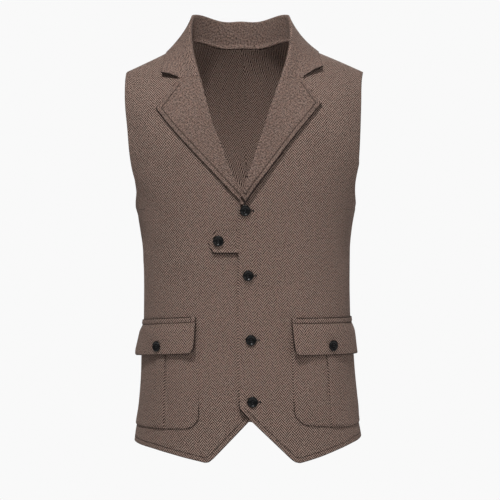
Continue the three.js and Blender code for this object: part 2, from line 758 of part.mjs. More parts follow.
/** Stations of half the collar, from the gorge to the centre back. */
function collarStations(front) {
  const gorge = markAt(front.rollLine[front.rollLine.length - 1]);
  const corner = markAt(front.collarCorner);
  const path = pathThrough([gorge, markAt(front.notch), corner]);
  const line = innerLine(front);
  const shoulderEdge = { angle: angleAcross(COLLAR_EDGE_AT_SHOULDER, 0, 'front'), level: 0 };
  const station = (neck, edge, bend, rest) => {
    const read = (share) => {
      const turned = path.read(share);
      const chord = mixMarks(gorge, corner, share);
      const flat = mixMarks(neck, edge, share);
      return onSide(front.side, {
        angle: flat.angle + bend * (turned.angle - chord.angle),
        level: flat.level + bend * (turned.level - chord.level),
      });
    };
    return {
      ...rest,
      neck: onSide(front.side, neck),
      edge: onSide(front.side, edge),
      notchShare: path.firstShare,
      total: mix(distance(neck, edge), path.total, bend),
      read,
    };
  };
  const inFront = [0, 0.12, 0.28, 0.46, 0.64, 0.82, 1].map((share) => {
    const level = mix(gorge.level, 0, share);
    const raised = (1 - share) * SEAM_GAP / 2;
    const neck = { angle: readTable(line, 'level', 'angle', level), level: level + raised };
    const edge = mixMarks(corner, shoulderEdge, share);
    return station(neck, { angle: edge.angle, level: edge.level + raised }, (1 - share) ** (2 * GORGE_BEND), {
      stand: mix(STAND_AT_GORGE, STAND_AT_SHOULDER, share ** STAND_GROWTH),
      upright: share,
      hug: 1 - smooth(0.1, 0.95, share),
    });
  });
  const behind = shares(STATIONS_BEHIND).slice(1).map((share) => {
    const { neck, edge } = backNeck(share);
    const stand = mix(STAND_AT_SHOULDER, STAND_AT_BACK, share);
    return station(neck, edge, 0, { stand, upright: 1, hug: 0 });
  });
  return [...inFront, ...behind];
}

function collar() {
  const left = collarStations(WEARERS_LEFT);
  const right = collarStations(WEARERS_RIGHT);
  const grid = [...left, ...right.slice(0, -1).reverse()].map(collarSection);
  return thickSheet(grid, TURNED_CLOTH);
}

// Pockets, flaps and tab

/** Frame of a pocket on its front: its width, its pleat's place and the angle of a place on it. */
function pocketFrame(front) {
  const { inner, strip, outerAngle: outer } = front.pocket;
  const middle = mix(POCKET_TOP, front.pocket.bottom.middle, 0.5);
  const start = angleAcross(inner, middle, 'front');
  const ruler = [{ angle: start, place: 0 }];
  for (const share of shares(40).slice(1)) {
    const before = ruler[ruler.length - 1];
    const angle = mix(start, outer, share);
    const step = distance({ angle: before.angle, level: middle }, { angle, level: middle });
    ruler.push({ angle, place: before.place + step });
  }
  const width = ruler[ruler.length - 1].place;
  const angleOf = (place, level) => {
    const lean = (angleAcross(inner, level, 'front') - start) * Math.max(0, 1 - place / POCKET_CORNER);
    return readTable(ruler, 'place', 'angle', place) + lean;
  };
  const placeOf = (angle) => readTable(ruler, 'angle', 'place', angle);
  const { left, right, columns } = frontFrame(front);
  const panelPlaces = columns.map((column) => placeOf(mix(left(middle), right(middle), column)));
  const withPanel = (places) => {
    const extra = panelPlaces.filter((place) => places.every((other) => Math.abs(other - place) > 2));
    return [...places, ...extra].sort((a, b) => a - b);
  };
  return { width, stripAt: placeOf(angleAcross(strip, middle, 'front')), angleOf, withPanel };
}

/** Rise of a rounded lower corner at a distance from the edge. */
function cornerRise(radius, fromEdge) {
  if (fromEdge >= radius) return 0;
  return radius - Math.sqrt(radius * radius - (radius - fromEdge) ** 2);
}

/** Patch pocket with a box pleat down its middle. */
function pocket(front) {
  const { width, stripAt, angleOf, withPanel } = pocketFrame(front);
  const stripStart = stripAt - STRIP_HALF;
  const stripEnd = stripAt + STRIP_HALF;
  const places = withPanel([
    ...POCKET_CORNER_PLACES,
    stripStart - STRIP_STEP, stripStart, stripEnd, stripEnd + STRIP_STEP,
    width,
  ]);
  const { bottom } = front.pocket;
  const bottomLine = [
    { place: 0, level: bottom.inner },
    { place: width / 2, level: bottom.middle },
    { place: width, level: bottom.side },
  ];
  const bottomAt = (place) => (
    readTable(bottomLine, 'place', 'level', place) + cornerRise(POCKET_CORNER, place)
  );
  const markOf = (row, place) => {
    const level = mix(POCKET_TOP, bottomAt(place), row);
    return onSide(front.side, { angle: angleOf(place, level), level });
  };
  const belly = (row, place) => POCKET_BELLY
    * smooth(0, POCKET_BORDER, place)
    * smooth(0, POCKET_BORDER, width - place)
    * smooth(0, POCKET_BORDER, (1 - row) * (POCKET_TOP - bottomAt(place)));
  const rise = (row, place) => {
    const beside = Math.abs(place - stripAt) - STRIP_HALF;
    const high = mix(STRIP_RISE.top, STRIP_RISE.bottom, smooth(0.1, 0.4, row));
    return high * (1 - smooth(0, STRIP_STEP, beside));
  };
  const face = (liftOf) => POCKET_ROWS.map((row) => places.map((place) => {
    const mark = markOf(row, place);
    return lifted(mark, overlapLift(front.side, mark) + SEAM_GAP + belly(row, place) + liftOf(row, place));
  }));
  return closedWall(face((row, place) => TURNED_CLOTH + rise(row, place)), face(() => 0));
}

/** Lift of the outer face of a flap at a row and at an angle round the form. */
function flapLift(front, below, angle) {
  const fall = FLAP_ROWS[FLAP_ROWS.length - 1].below;
  const atSide = smooth(FLAP_FLARE_ANGLES.from, FLAP_FLARE_ANGLES.to, Math.abs(angle));
  const flare = front.pocket.flapFlare * atSide * (below / fall) ** 1.5;
  return readTable(FLAP_ROWS, 'below', 'lift', below) + flare;
}

/** Flap over a pocket, sewn along its top and buttoned at its middle. */
function flap(front) {
  const { width, angleOf, withPanel } = pocketFrame(front);
  const { flapTop, flapFall, flapInset, sideDrop } = front.pocket;
  const places = withPanel([...FLAP_CORNER_PLACES, ...FLAP_CORNER_PLACES.map((place) => width - place)]);
  const fullFall = FLAP_ROWS[FLAP_ROWS.length - 1].below;
  const markOf = (below, place) => {
    const share = below / fullFall;
    const rise = cornerRise(FLAP_CORNER, Math.min(place, width - place));
    const inset = mix(flapInset.top, flapInset.bottom, share) * Math.max(0, 1 - place / FLAP_INSET_FADE);
    const level = flapTop - (flapFall - rise) * share;
    const angle = angleOf(place + inset, level);
    return onSide(front.side, { angle, level: level - sideDrop * place / width });
  };
  const face = (depth) => FLAP_ROWS.map(({ below }) => places.map((place) => {
    const mark = markOf(below, place);
    return lifted(mark, Math.max(SEAM_GAP, flapLift(front, below, mark.angle) - depth));
  }));
  return closedWall(face(0), face(TURNED_CLOTH));
}

/** Row of the flap on which its button lies. */
function buttonBelow(front) {
  const { width, stripAt } = pocketFrame(front);
  const { flapTop, flapFall, sideDrop, buttonHeight } = front.pocket;
  const fullFall = FLAP_ROWS[FLAP_ROWS.length - 1].below;
  return (flapTop - sideDrop * stripAt / width - buttonHeight) * fullFall / flapFall;
}

/** Pointed tab; its square end is tucked under the edge of the front that closes over it. */
function chestTab() {
  const outline = [
    { height: TAB.bottom, across: TAB.foot },
    TAB.point,
    { height: TAB.top, across: TAB.shoulder },
  ];
  const acrossAt = (height) => {
    const [from, to] = height > TAB.point.height ? outline.slice(1) : outline;
    return mix(from.across, to.across, (height - from.height) / (to.height - from.height));
  };
  const heights = [TAB.bottom, mix(TAB.bottom, TAB.point.height, 0.5), TAB.point.height, TAB.brow, TAB.top];
  const markOf = (height, share) => (
    onSide(-1, markAt({ across: mix(TAB.tuckedEnd, acrossAt(height), share), height }))
  );
  const face = (lift) => heights.map((height) => (
    shares(TAB.columns).map((share) => lifted(markOf(height, share), lift))
  ));
  return closedWall(face(SEAM_GAP + TURNED_CLOTH), face(SEAM_GAP));
}

// Buttons

/** Round solid turned from a profile of radius and height that starts and ends on the axis. */
function turnedSolid(profile, sides) {
  const rings = profile.slice(1, -1);
  const positions = [0, 0, profile[0][1]];
  for (const [radius, height] of rings) {
    for (const share of shares(sides).slice(1)) {
      const turn = share * 360 * DEGREE;
      positions.push(radius * Math.cos(turn), radius * Math.sin(turn), height);
    }
  }
  positions.push(0, 0, profile[profile.length - 1][1]);
  const ringPoint = (ring, side) => 1 + ring * sides + (side % sides);
  const top = rings.length * sides + 1;
  const indices = [];
  for (let side = 0; side < sides; side += 1) {
    indices.push(0, ringPoint(0, side + 1), ringPoint(0, side));
    for (let ring = 0; ring + 1 < rings.length; ring += 1) {
      const [a, b] = [ringPoint(ring, side), ringPoint(ring, side + 1)];
      const [c, d] = [ringPoint(ring + 1, side + 1), ringPoint(ring + 1, side)];
      indices.push(a, b, c, a, c, d);
    }
    indices.push(top, ringPoint(rings.length - 1, side), ringPoint(rings.length - 1, side + 1));
  }
  return facingOut(positions, indices);
}

function buttonGeometry() {
  const { radius, rim, floor, thick, dish, edge, back, sides } = BUTTON;
  return turnedSolid([
    [0, 0],
    [back, 0],
    [radius, edge],
    [radius, thick - edge],
    [radius - edge, thick],
    [rim, thick],
    [floor, thick - dish],
    [0, thick - dish],
  ], sides);
}

/** Button that lies on the cloth at a mark, over whatever the cloth carries there. */
function button(name, mark, lift) {
  const mesh = new THREE.Mesh(buttonGeometry(), HORN);
  mesh.name = name;
  mesh.position.copy(hang(lifted(mark, lift + SEAM_GAP + BUTTON.shank)));
  mesh.quaternion.setFromUnitVectors(new THREE.Vector3(0, 0, 1), outward(mark.angle, mark.level));
  return mesh;
}

// Assembly

function piece(name, geometry, material) {
  const mesh = new THREE.Mesh(geometry, material);
  mesh.name = name;
  return mesh;
}

function waistcoat() {
  const group = new THREE.Group();
  for (const front of [WEARERS_LEFT, WEARERS_RIGHT]) {
    const strip = markAt({ across: front.pocket.strip, height: front.pocket.buttonHeight });
    const stripLift = flapLift(front, buttonBelow(front), strip.angle);
    group.add(
      piece(`front_${front.name}`, frontPanel(front), TWEED),
      piece(`back_${front.name}`, backPanel(front), TWEED),
      piece(`lapel_${front.name}`, lapel(front), TWEED_LAPEL),
      piece(`pocket_${front.name}`, pocket(front), TWEED),
      piece(`flap_${front.name}`, flap(front), TWEED),
      button(`flap_button_${front.name}`, onSide(front.side, strip), stripLift),
    );
  }
  group.add(piece('collar', collar(), TWEED_LAPEL), piece('chest_tab', chestTab(), TWEED));
  FRONT_BUTTONS.forEach((place, index) => {
    const mark = markAt(place);
    group.add(button(`front_button_${index + 1}`, mark, overlapLift(1, mark)));
  });
  group.add(button('tab_button', onSide(-1, markAt(TAB_BUTTON)), SEAM_GAP + TURNED_CLOTH));
  return group;
}

const group = waistcoat();

export default group;
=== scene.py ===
import math
import bpy
import numpy as np
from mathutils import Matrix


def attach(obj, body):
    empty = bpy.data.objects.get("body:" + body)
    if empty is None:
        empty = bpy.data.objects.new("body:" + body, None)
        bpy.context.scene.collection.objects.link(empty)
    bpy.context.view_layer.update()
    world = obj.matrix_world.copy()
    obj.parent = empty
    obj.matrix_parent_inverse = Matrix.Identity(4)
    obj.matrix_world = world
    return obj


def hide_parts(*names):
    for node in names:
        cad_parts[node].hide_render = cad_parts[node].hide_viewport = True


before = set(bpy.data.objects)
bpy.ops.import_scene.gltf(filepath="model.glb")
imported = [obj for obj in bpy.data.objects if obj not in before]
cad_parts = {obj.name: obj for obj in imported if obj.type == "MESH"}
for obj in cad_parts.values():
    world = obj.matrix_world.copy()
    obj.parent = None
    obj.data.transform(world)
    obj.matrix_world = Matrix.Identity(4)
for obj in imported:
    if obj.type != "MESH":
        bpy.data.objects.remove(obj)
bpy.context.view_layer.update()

# Lengths in the tables are millimetres, as in the part's own source; meshes are written in metres.
MM = 0.001

# Cloth
CLOTH = 2.0
TURNED_CLOTH = 1.8
SEAM_GAP = 0.3

# The worn form: rings from below the hem to the shoulders (level, half width, front depth, back depth)
RINGS = np.array([
    (-720, 191, 122, 118),
    (-660, 185.5, 122, 118),
    (-600, 176, 121, 113),
    (-540, 171.5, 119, 104),
    (-480, 170, 117, 94),
    (-420, 169.3, 117, 88),
    (-351, 171, 120, 91),
    (-320, 174.5, 123, 96),
    (-285, 181, 126.5, 103),
    (-226, 199, 130.5, 111),
    (-163, 213, 131, 113),
    (-100, 217, 131, 113),
    (0, 210, 131, 113),
], float)
HALF_WIDTH, FRONT_DEPTH, BACK_DEPTH = 1, 2, 3
ROUNDNESS = 2.3
CHEST_LEVEL = -200.0
NECK_HALF = 81.0
SHOULDER_HALF = 195.0
SHOULDER_SLOPE = 0.45
RIDGE_TOP = 30.3
RIDGE_ROUNDING = 12.0

# Soft hollows of the worn cloth: side, angle from the centre front, level, long, wide, lean, rise
FOLDS = [
    (1, 66, -250, 70, 9, -14, -2.6),
    (1, 78, -330, 80, 10, 10, -2.0),
    (-1, 70, -262, 55, 8, 12, -2.4),
    (-1, 80, -345, 75, 9, -8, -1.6),
    (-1, 64, -175, 38, 5, 6, -1.4),
    (1, 128, -300, 90, 9, 14, -2.4),
    (-1, 124, -290, 85, 10, 16, -2.2),
    (1, 140, -430, 60, 13, 18, -2.0),
    (-1, 145, -415, 55, 12, 20, -2.2),
]

# Fine creases that only the dressed cloth has, in the same columns
CREASES = [
    (1, 50, -205, 34, 5, 14, -0.9),
    (1, 72, -215, 26, 3.5, -12, 1.1),
    (-1, 60, -212, 30, 4.5, -12, -1.0),
    (-1, 78, -235, 28, 4, 10, 1.0),
    (1, 58, -395, 60, 7, 16, -0.9),
    (-1, 56, -410, 55, 7, -14, -0.9),
    (1, 84, -285, 30, 5, 12, -1.2),
    (-1, 86, -290, 30, 5, -12, -1.1),
    (1, 30, -640, 40, 7, 3, 0.9),
    (-1, 44, -645, 38, 7, -3, 0.8),
    (1, 116, -620, 55, 8, 5, -2.0),
    (-1, 120, -610, 50, 9, -6, -1.8),
    (1, 160, -600, 70, 9, 4, 1.6),
    (-1, 165, -560, 80, 8, 6, -1.4),
    (1, 150, -250, 45, 8, -20, -1.3),
    (-1, 152, -225, 48, 9, 22, -1.2),
    (1, 118, -400, 28, 7, 26, 1.4),
    (-1, 112, -388, 26, 7, -24, 1.2),
    (1, 168, -470, 50, 8, 10, -1.0),
]

# Front and neck swing a little to one side between neck and hem
SWING_AT_NECK = -8.0
SWING_PER_MM = 0.0285
SWING_BEHIND, SWING_BEFORE = 30.0, 70.0
NECK_SWING = (-70.0, -5.0, 95.0, 180.0)

# Outlines seen from the front: across, height. A pocket is its inner edge and its pleat across and the
# angle of its outer edge, pocket_bottom its levels at the inner corner, the middle and the outer corner.
# A flap hangs from its top by its fall, its inner edge set back by inset at top and foot; its outer end
# lies lower by drop and stands off by flare.
WEARERS_LEFT = {
    "side": 1,
    "name": "left",
    "front_edge": [(-19.5, -720), (-19.5, -560), (-17.6, -462), (-14, -367), (-11, -300)],
    "roll_line": [(-8.6, -278.5), (-3.8, -258), (6.5, -228), (18.5, -196), (28.7, -169), (39.5, -137),
                  (51.5, -105), (61.5, -76)],
    "neck_line": [(72, -45), (77.5, -22)],
    "lapel_edge": [(-1, -278.5), (16.9, -253), (38.2, -226), (59.6, -198), (81, -171), (102.6, -145),
                   (124.5, -119)],
    "lapel_spring": 5.0,
    "notch": (96.5, -76.5),
    "collar_corner": (127.5, -61),
    "hem_corner": (-19.5, -604),
    "hem_tip": 29.8,
    "hem_rise": 9.5,
    "pocket": (67, 128, 90),
    "pocket_bottom": (-628.4, -635.5, -625.5),
    "pleat_lean": 3.4,
    "flap": {"top": -459, "fall": 60, "inset": (0, 0.5), "drop": 0.4, "flare": 1.8, "button": -504.0},
}
WEARERS_RIGHT = {
    "side": -1,
    "name": "right",
    "front_edge": [(-16, -720), (-16, -560), (-15, -462), (-13, -367), (-10, -300)],
    "roll_line": [(-2, -272), (8.4, -254), (21.8, -225), (35, -190), (46.8, -158), (57, -120), (67, -76)],
    "neck_line": [(75.5, -42), (79, -17)],
    "lapel_edge": [(4.5, -279), (24.3, -257.8), (47.3, -232.5), (70.4, -207), (93.5, -181.5), (117, -154),
                   (138.5, -125.6)],
    "lapel_spring": 1.6,
    "notch": (100.5, -77),
    "collar_corner": (127.5, -71),
    "hem_corner": (-16, -602),
    "hem_tip": 31.1,
    "hem_rise": -4,
    "pocket": (83.5, 142.6, 94),
    "pocket_bottom": (-635.2, -638.3, -637.3),
    "pleat_lean": 0.5,
    "flap": {"top": -456.8, "fall": 59.2, "inset": (1, 1), "drop": 9.4, "flare": 4.6, "button": -506.0},
}

SIDE_SEAM_ANGLE = 98.0
ARMPIT_LEVEL = -285.0
ARMHOLE_FOOT_TOP = -226.0
ARMHOLE_FOOT_ROUNDNESS = 2.2
ARMHOLE_FRONT = [(182.5, -226), (188.5, -163), (192.5, -98)]
ARMHOLE_BACK = [(176, -226), (184, -163), (190, -98)]
HEM = np.array([
    (33, -689.5),
    (46, -681.5),
    (57.5, -673.5),
    (69, -667),
    (90, -661.5),
    (110, -660),
    (140, -656),
    (180, -645),
], float)
HEM_RISE_ANGLES = (33.0, 88.0, 105.0, 180.0)
LOWEST_STRAIGHT_ROW = -590.0
BACK_NECK_DIP = 71.0
BACK_NECK_ROUNDNESS = 2.4
SHOULDER_SEAM_LEVEL = 0.1
CENTRE_BACK = 180.0
UNDER_BACK_NECK = -98.0

UNDERLAP_LIFT = CLOTH + SEAM_GAP + 0.1
LAPEL_UNDERLAP_LIFT = UNDERLAP_LIFT + TURNED_CLOTH + 0.5
FOLD_AT_CLOSING = 1.25
FOLD_AT_NECK = 3.0
ROLL_FADE = 26.0
LAPEL_CLEARANCE = 0.9
FOLD_ROOM = 0.85
GORGE_BEND = 3
STAND_AT_GORGE = 0.3
STAND_AT_SHOULDER = 38.0
STAND_AT_BACK = 38.0
STAND_LEAN = 0.14
STAND_GROWTH = 1.6
COLLAR_EDGE_AT_SHOULDER = 123.0
COLLAR_EDGE_AT_BACK = -93.0
COLLAR_HOLLOW = 10.0
ROLL_REST = LAPEL_CLEARANCE + TURNED_CLOTH / 2

POCKET_TOP = -484.0
POCKET_CORNER = 22.0
POCKET_BELLY = 1.2
POCKET_BORDER = 28.0
STRIP_HALF = 10.0
STRIP_STEP = 1.6
POCKET_EDGE = 1.6
FLAP_CORNER = 11.0
FLAP_INSET_FADE = 30.0
FLAP_STITCH = 8.4
# Fall over the flap, height of its outer face above the form
FLAP_ROWS = np.array([(0, 2.1), (7, 2.3), (8.5, 1.7), (10.5, 2.5), (22, 6.4), (38, 7.8), (55, 8.8)], float)
FLAP_FALL = 55.0

TAB_TUCKED, TAB_TOP, TAB_BOTTOM = 9.0, -319.5, -357.0
TAB_SHOULDER, TAB_POINT, TAB_FOOT = 48.5, (61.0, -340.0), 54.5

FRONT_BUTTONS = [(-1.1, -288.5), (0.6, -391.4), (2.2, -494.1), (1.7, -591.7)]
TAB_BUTTON = (44.6, -336.3)
BUTTON_SIZE = 0.96
BUTTON_FOOT = 0.9
HOLE_OFFSET = 1.45             # the four holes of a button lie this far across and up from its middle
HOLED_RINGS = 9                # so many rings of the profile, from the middle, are sunk by the holes
# Button seen from the side: distance from its axis, height
BUTTON_PROFILE = [(k / 10, 3.0) for k in range(0, 29, 4)] + [
    (3.3, 3.0), (4.0, 3.02), (4.8, 3.1), (5.4, 3.35), (5.9, 3.8), (6.4, 4.2), (7.0, 4.42), (7.7, 4.4),
    (8.3, 4.15), (8.75, 3.7), (8.97, 3.1), (8.95, 2.4), (8.6, 1.8), (8.0, 1.35), (7.0, 1.0),
    (4.0, BUTTON_FOOT), (0, BUTTON_FOOT),
]
SLIT_START, SLIT_END = -2.2, 12.0  # a buttonhole's slit, measured from the middle of its button

# Edges of the dressed cloth. A mesh's seam attribute is 0 on a stitch line and minus STITCH_INSET on a free
# edge, where painted shade is drawn dark; lower values widen that painted shade and higher ones narrow it.
STITCH_INSET = 8.0             # topstitching runs this far inside hem and lapel edges
EDGE_REACH = 3.0               # cloth without topstitching keeps the painted shade at its edge over this width
SHADED_REACH = 3.2             # an edge's own shade is set over this width
LEFT_PLAIN = 900.0             # seam attribute of cloth away from any stitch line
FAINT_STITCH = 0.85            # least distance from a stitch line that sinks in and hardly shows
DEEP_SHADE = 1.2               # the painted shade of an edge that stands off the cloth reaches this much further in
SEWN_TIGHT = 5.0               # edges that are sewn together are rounded this many times tighter
CORNER_CURL = 7.0              # the upper front's lower corner springs off the under one by this much,
CORNER_REACH = 13.0            # over this width
FLAP_CURL = 6.0                # a flap's inner lower corner stands off the pocket by this much more,
FLAP_CURL_REACH = 26.0         # over this width
COLLAR_SPRING = 5.0            # the collar's ends spring off the fronts by this much
TAB_LIP = 2.2                  # the tab's lower edge springs off by this much
FLAP_END_SPREAD = 0.36         # rounding of a flap's outer corner: its height as a share of its length
TIP_ROUNDING = (1.7, 4.2)      # the hem's tips are blunter by this much, over this width
FRONT_SHIFT = 1.7              # the weave of one front is shifted, so that the two do not mirror each other
WEAVE_TILT = math.radians(38)  # the weave of the lapels is turned by this much
RIM = np.array([0.0, 0.12, 0.42, 1.0])  # grid lines across a rounded cloth edge, as shares of its radius


def smooth(low, high, value):
    """Share of the way from low to high, easing in and out: t squared times (3 - 2t)."""
    t = np.clip((np.asarray(value, float) - low) / (high - low), 0, 1)
    return t * t * (3 - 2 * t)


def mix(a, b, share):
    """Straight mix of a and b."""
    return a + (b - a) * share


def bell(gap, width):
    """Bell curve: e to the power of minus the square of gap over width."""
    return np.exp(-(gap / width) ** 2)


def read_table(xs, ys, value):
    """Table read along cubic pieces whose slopes are harmonic means of their neighbours: no overshoot."""
    xs, ys = np.asarray(xs, float), np.asarray(ys, float)
    slope = np.diff(ys) / np.diff(xs)
    before, after = slope[:-1], slope[1:]
    same = before * after > 0
    inner = np.where(same, 2 * before * after / np.where(same, before + after, 1), 0)
    tangent = np.concatenate((slope[:1], inner, slope[-1:]))
    value = np.clip(value, xs[0], xs[-1])
    row = np.clip(np.searchsorted(xs, value, side="right") - 1, 0, len(xs) - 2)
    span = np.diff(xs)[row]
    t = (value - xs[row]) / span
    back = 1 - t
    return (ys[row] * (1 + 2 * t) * back * back + span * tangent[row] * t * back * back
            + ys[row + 1] * t * t * (3 - 2 * t) - span * tangent[row + 1] * t * t * back)


# The worn form

def ridge_height(across):
    """Height of the shoulder line: two slopes that round into each other over the middle."""
    return RIDGE_TOP - SHOULDER_SLOPE * np.hypot(across, RIDGE_ROUNDING)


def fold_rise(angle, level):
    """Sum of the soft hollows: each falls off as a bell beside and along its leaning line."""
    rise = 0
    for side, at, height, length, wide, lean, depth in FOLDS + CREASES:
        along = (level - height) / length
        beside = (angle * side - at - lean * along) / wide
        rise = rise + depth * np.exp(-2 * along ** 2 - beside ** 2)
    return rise


def ring_value(column, level):
    """One column of the table of rings, read at a level."""
    return read_table(RINGS[:, 0], RINGS[:, column], level)


def skin(angle, level):
    """Outer face of the cloth: rounded-box rings that bend over to the shoulder line above the chest."""
    angle, level = np.broadcast_arrays(np.asarray(angle, float), np.asarray(level, float))
    half = ring_value(HALF_WIDTH, level)
    sine, cosine = np.sin(np.radians(angle)), np.cos(np.radians(angle))
    depth = np.where(cosine >= 0, ring_value(FRONT_DEPTH, level), ring_value(BACK_DEPTH, level))
    radius = (np.abs(cosine / depth) ** ROUNDNESS + np.abs(sine / half) ** ROUNDNESS) ** (-1 / ROUNDNESS)
    radius = radius + fold_rise(angle, level)
    x, y = radius * sine, -radius * cosine
    bend = np.radians((1 - np.maximum(level, CHEST_LEVEL) / CHEST_LEVEL) * 90)
    top = CHEST_LEVEL + (ridge_height(x) - CHEST_LEVEL) * np.sin(bend)
    return np.stack([x, y * np.cos(bend), np.where(level < CHEST_LEVEL, level, top)], -1)


def unit(vectors):
    """Vectors of length one."""
    return vectors / np.maximum(np.linalg.norm(vectors, axis=-1, keepdims=True), 1e-9)


def outward(angle, level):
    """Outward direction of the form: the cross product of its slopes around and up."""
    around = skin(angle + 0.2, level) - skin(angle - 0.2, level)
    up = skin(angle, level + 0.2) - skin(angle, level - 0.2)
    return unit(np.cross(around, up))


def lifted(angle, level, lift):
    """Point above the outer face by lift."""
    return skin(angle, level) + outward(angle, level) * np.asarray(lift)[..., None]


def hang(points):
    """Front and neck sway sideways with height; the sway fades to the back and out to the shoulders."""
    x, y, z = points[..., 0], points[..., 1], points[..., 2]
    low, high, near, far = NECK_SWING
    neck = smooth(low, high, z) * (1 - smooth(near, far, np.abs(x)))
    share = mix(smooth(-SWING_BEHIND, SWING_BEFORE, -y), 1, neck)
    return np.stack([x + (SWING_AT_NECK - SWING_PER_MM * z) * share, y, z], -1)


def angle_across(across, level, facing="front"):
    """Angle round the ring of a point that is seen this far across."""
    depth = ring_value(FRONT_DEPTH if facing == "front" else BACK_DEPTH, level)
    rest = np.maximum(0, 1 - np.abs(across / ring_value(HALF_WIDTH, level)) ** ROUNDNESS)
    angle = np.degrees(np.arctan2(across, depth * rest ** (1 / ROUNDNESS)))
    return angle if facing == "front" else 180 - angle


def mark_at(place, facing="front"):
    """Marks, angle and level, of points given by their distance across and their height."""
    across, height = np.moveaxis(np.asarray(place, float), -1, 0)
    share = (height - CHEST_LEVEL) / (ridge_height(across) - CHEST_LEVEL)
    bent = CHEST_LEVEL * (1 - np.degrees(np.arcsin(np.clip(share, 0, 1))) / 90)
    level = np.where(height > CHEST_LEVEL, bent, height)
    return np.stack([angle_across(across, level, facing), level], -1)


def shoulder_mark(across, facing="front"):
    """Mark on the shoulder line this far across."""
    return np.array([float(angle_across(across, 0.0, facing)), 0.0])


def parts(marks):
    """Angles and levels of marks."""
    return marks[..., 0], marks[..., 1]


def distance(a, b):
    """Straight distance between marks on the form."""
    return np.linalg.norm(skin(*parts(a)) - skin(*parts(b)), axis=-1)


def degrees_for(length, angle, level):
    """Degrees round the form that some millimetres make there."""
    return length / np.linalg.norm(skin(angle + 1, level) - skin(angle, level), axis=-1)


def steps(grid, axis):
    """Distance of each grid point from both borders along one axis."""
    length = np.linalg.norm(np.diff(grid, axis=axis), axis=-1)
    start = np.zeros_like(np.take(length, [0], axis))
    near = np.concatenate((start, np.cumsum(length, axis)), axis)
    return near, np.take(near, [-1], axis) - near


# Length over the cloth for the weave to follow: round from the centre front, and up from below the hem
LOWEST_LEVEL, LEVEL_STEP = -724, 4.0
ANGLE_ROWS, LEVEL_ROWS = np.arange(0, 184, 1.0), np.arange(LOWEST_LEVEL, 4, LEVEL_STEP)
_grid = skin(ANGLE_ROWS, LEVEL_ROWS[:, None])
LENGTH_ROUND, LENGTH_UP = steps(_grid, 1)[0], steps(_grid, 0)[0]


def on_cloth(angle, level):
    """Millimetres round and up over the cloth at a mark, read between the rows of the two length tables."""
    a = np.clip(np.abs(angle), 0, len(ANGLE_ROWS) - 1.001)
    b = np.clip((np.asarray(level, float) - LOWEST_LEVEL) / LEVEL_STEP, 0, len(LEVEL_ROWS) - 1.001)
    i, j = b.astype(int), a.astype(int)
    s, t = b - i, a - j
    read = lambda table: (table[i, j] * (1 - s) * (1 - t) + table[i + 1, j] * s * (1 - t)
                          + table[i, j + 1] * (1 - s) * t + table[i + 1, j + 1] * s * t)
    return np.stack([np.sign(angle) * read(LENGTH_ROUND), read(LENGTH_UP)], -1)


# Meshes

def add_object(name, data):
    """New object in the scene."""
    obj = bpy.data.objects.new(name, data)
    bpy.context.scene.collection.objects.link(obj)
    return obj


def mesh_object(name, points, faces, material):
    """Object from points in metres and faces."""
    mesh = bpy.data.meshes.new(name)
    mesh.from_pydata(points, [], faces)
    mesh.materials.append(material)
    return add_object(name, mesh)


def ring_quads(index):
    """Quads between neighbouring rings of points that are closed round."""
    follow = np.roll(index, -1, 1)
    return np.stack([index[:-1], index[1:], follow[1:], follow[:-1]], -1).reshape(-1, 4).tolist()


def closed_shell(name, outer, inner, uv, seam, run):
    """Closed solid, outer grid outwards, from two matching grids whose borders are the same points."""
    rows, columns = outer.shape[:2]
    index = np.arange(rows * columns).reshape(rows, columns)
    under = index.copy()
    core = np.zeros((rows, columns), bool)
    core[1:-1, 1:-1] = True
    under[core] = rows * columns + np.arange(core.sum())
    quad = lambda t: np.stack([t[:-1, :-1], t[:-1, 1:], t[1:, 1:], t[1:, :-1]], -1).reshape(-1, 4)
    quads = np.concatenate((quad(index), quad(under)[:, ::-1]))
    i, j = rows // 2, columns // 2
    across = np.cross(outer[i, j + 1] - outer[i, j], outer[i + 1, j] - outer[i, j])
    if np.dot(across, outer[i, j] - inner[i, j]) < 0:
        quads = quads[:, ::-1]
    both = lambda a, b: np.concatenate((a.reshape((rows * columns,) + a.shape[2:]), b[core]))
    points, corners = hang(both(outer, inner)), quads.ravel()
    mesh = bpy.data.meshes.new(name)
    mesh.vertices.add(len(points))
    mesh.vertices.foreach_set("co", (points * MM).astype(np.float32).ravel())
    mesh.loops.add(len(corners))
    mesh.loops.foreach_set("vertex_index", corners.astype(np.int32))
    mesh.polygons.add(len(quads))
    mesh.polygons.foreach_set("loop_start", np.arange(0, len(corners), 4, dtype=np.int32))
    mesh.polygons.foreach_set("use_smooth", np.ones(len(quads), bool))
    mesh.update(calc_edges=True)
    layer = mesh.uv_layers.new(name="cloth")
    layer.data.foreach_set("uv", (both(uv, uv)[corners] * MM).astype(np.float32).ravel())
    for key, values in (("seam", seam), ("run", run)):
        attribute = mesh.attributes.new(key, "FLOAT", "POINT")
        attribute.data.foreach_set("value", (both(values, values) * MM).astype(np.float32))
    return add_object(name, mesh)


def plain_edge(gap):
    """Seam attribute of cloth that shows no topstitching: only the painted shade along its edge is kept."""
    return np.where(gap < EDGE_REACH, gap - STITCH_INSET, LEFT_PLAIN)


def half_round(gap, radius):
    """Half-round edge: the root of 1 - (1 - d/r)^2 at the distance d from it, and 1 beyond its radius r."""
    return np.sqrt(np.maximum(0, 1 - (1 - np.minimum(gap, radius) / radius) ** 2))


def rim_profile(grid, radius, tight):
    """Half-round edges on all borders; the first and last rows round off sooner by the factor tight."""
    near = np.minimum(np.minimum(*steps(grid, 0)) * tight, np.minimum(*steps(grid, 1)))
    profile = half_round(near, radius)
    profile[0], profile[-1], profile[:, 0], profile[:, -1] = 0, 0, 0, 0
    return profile


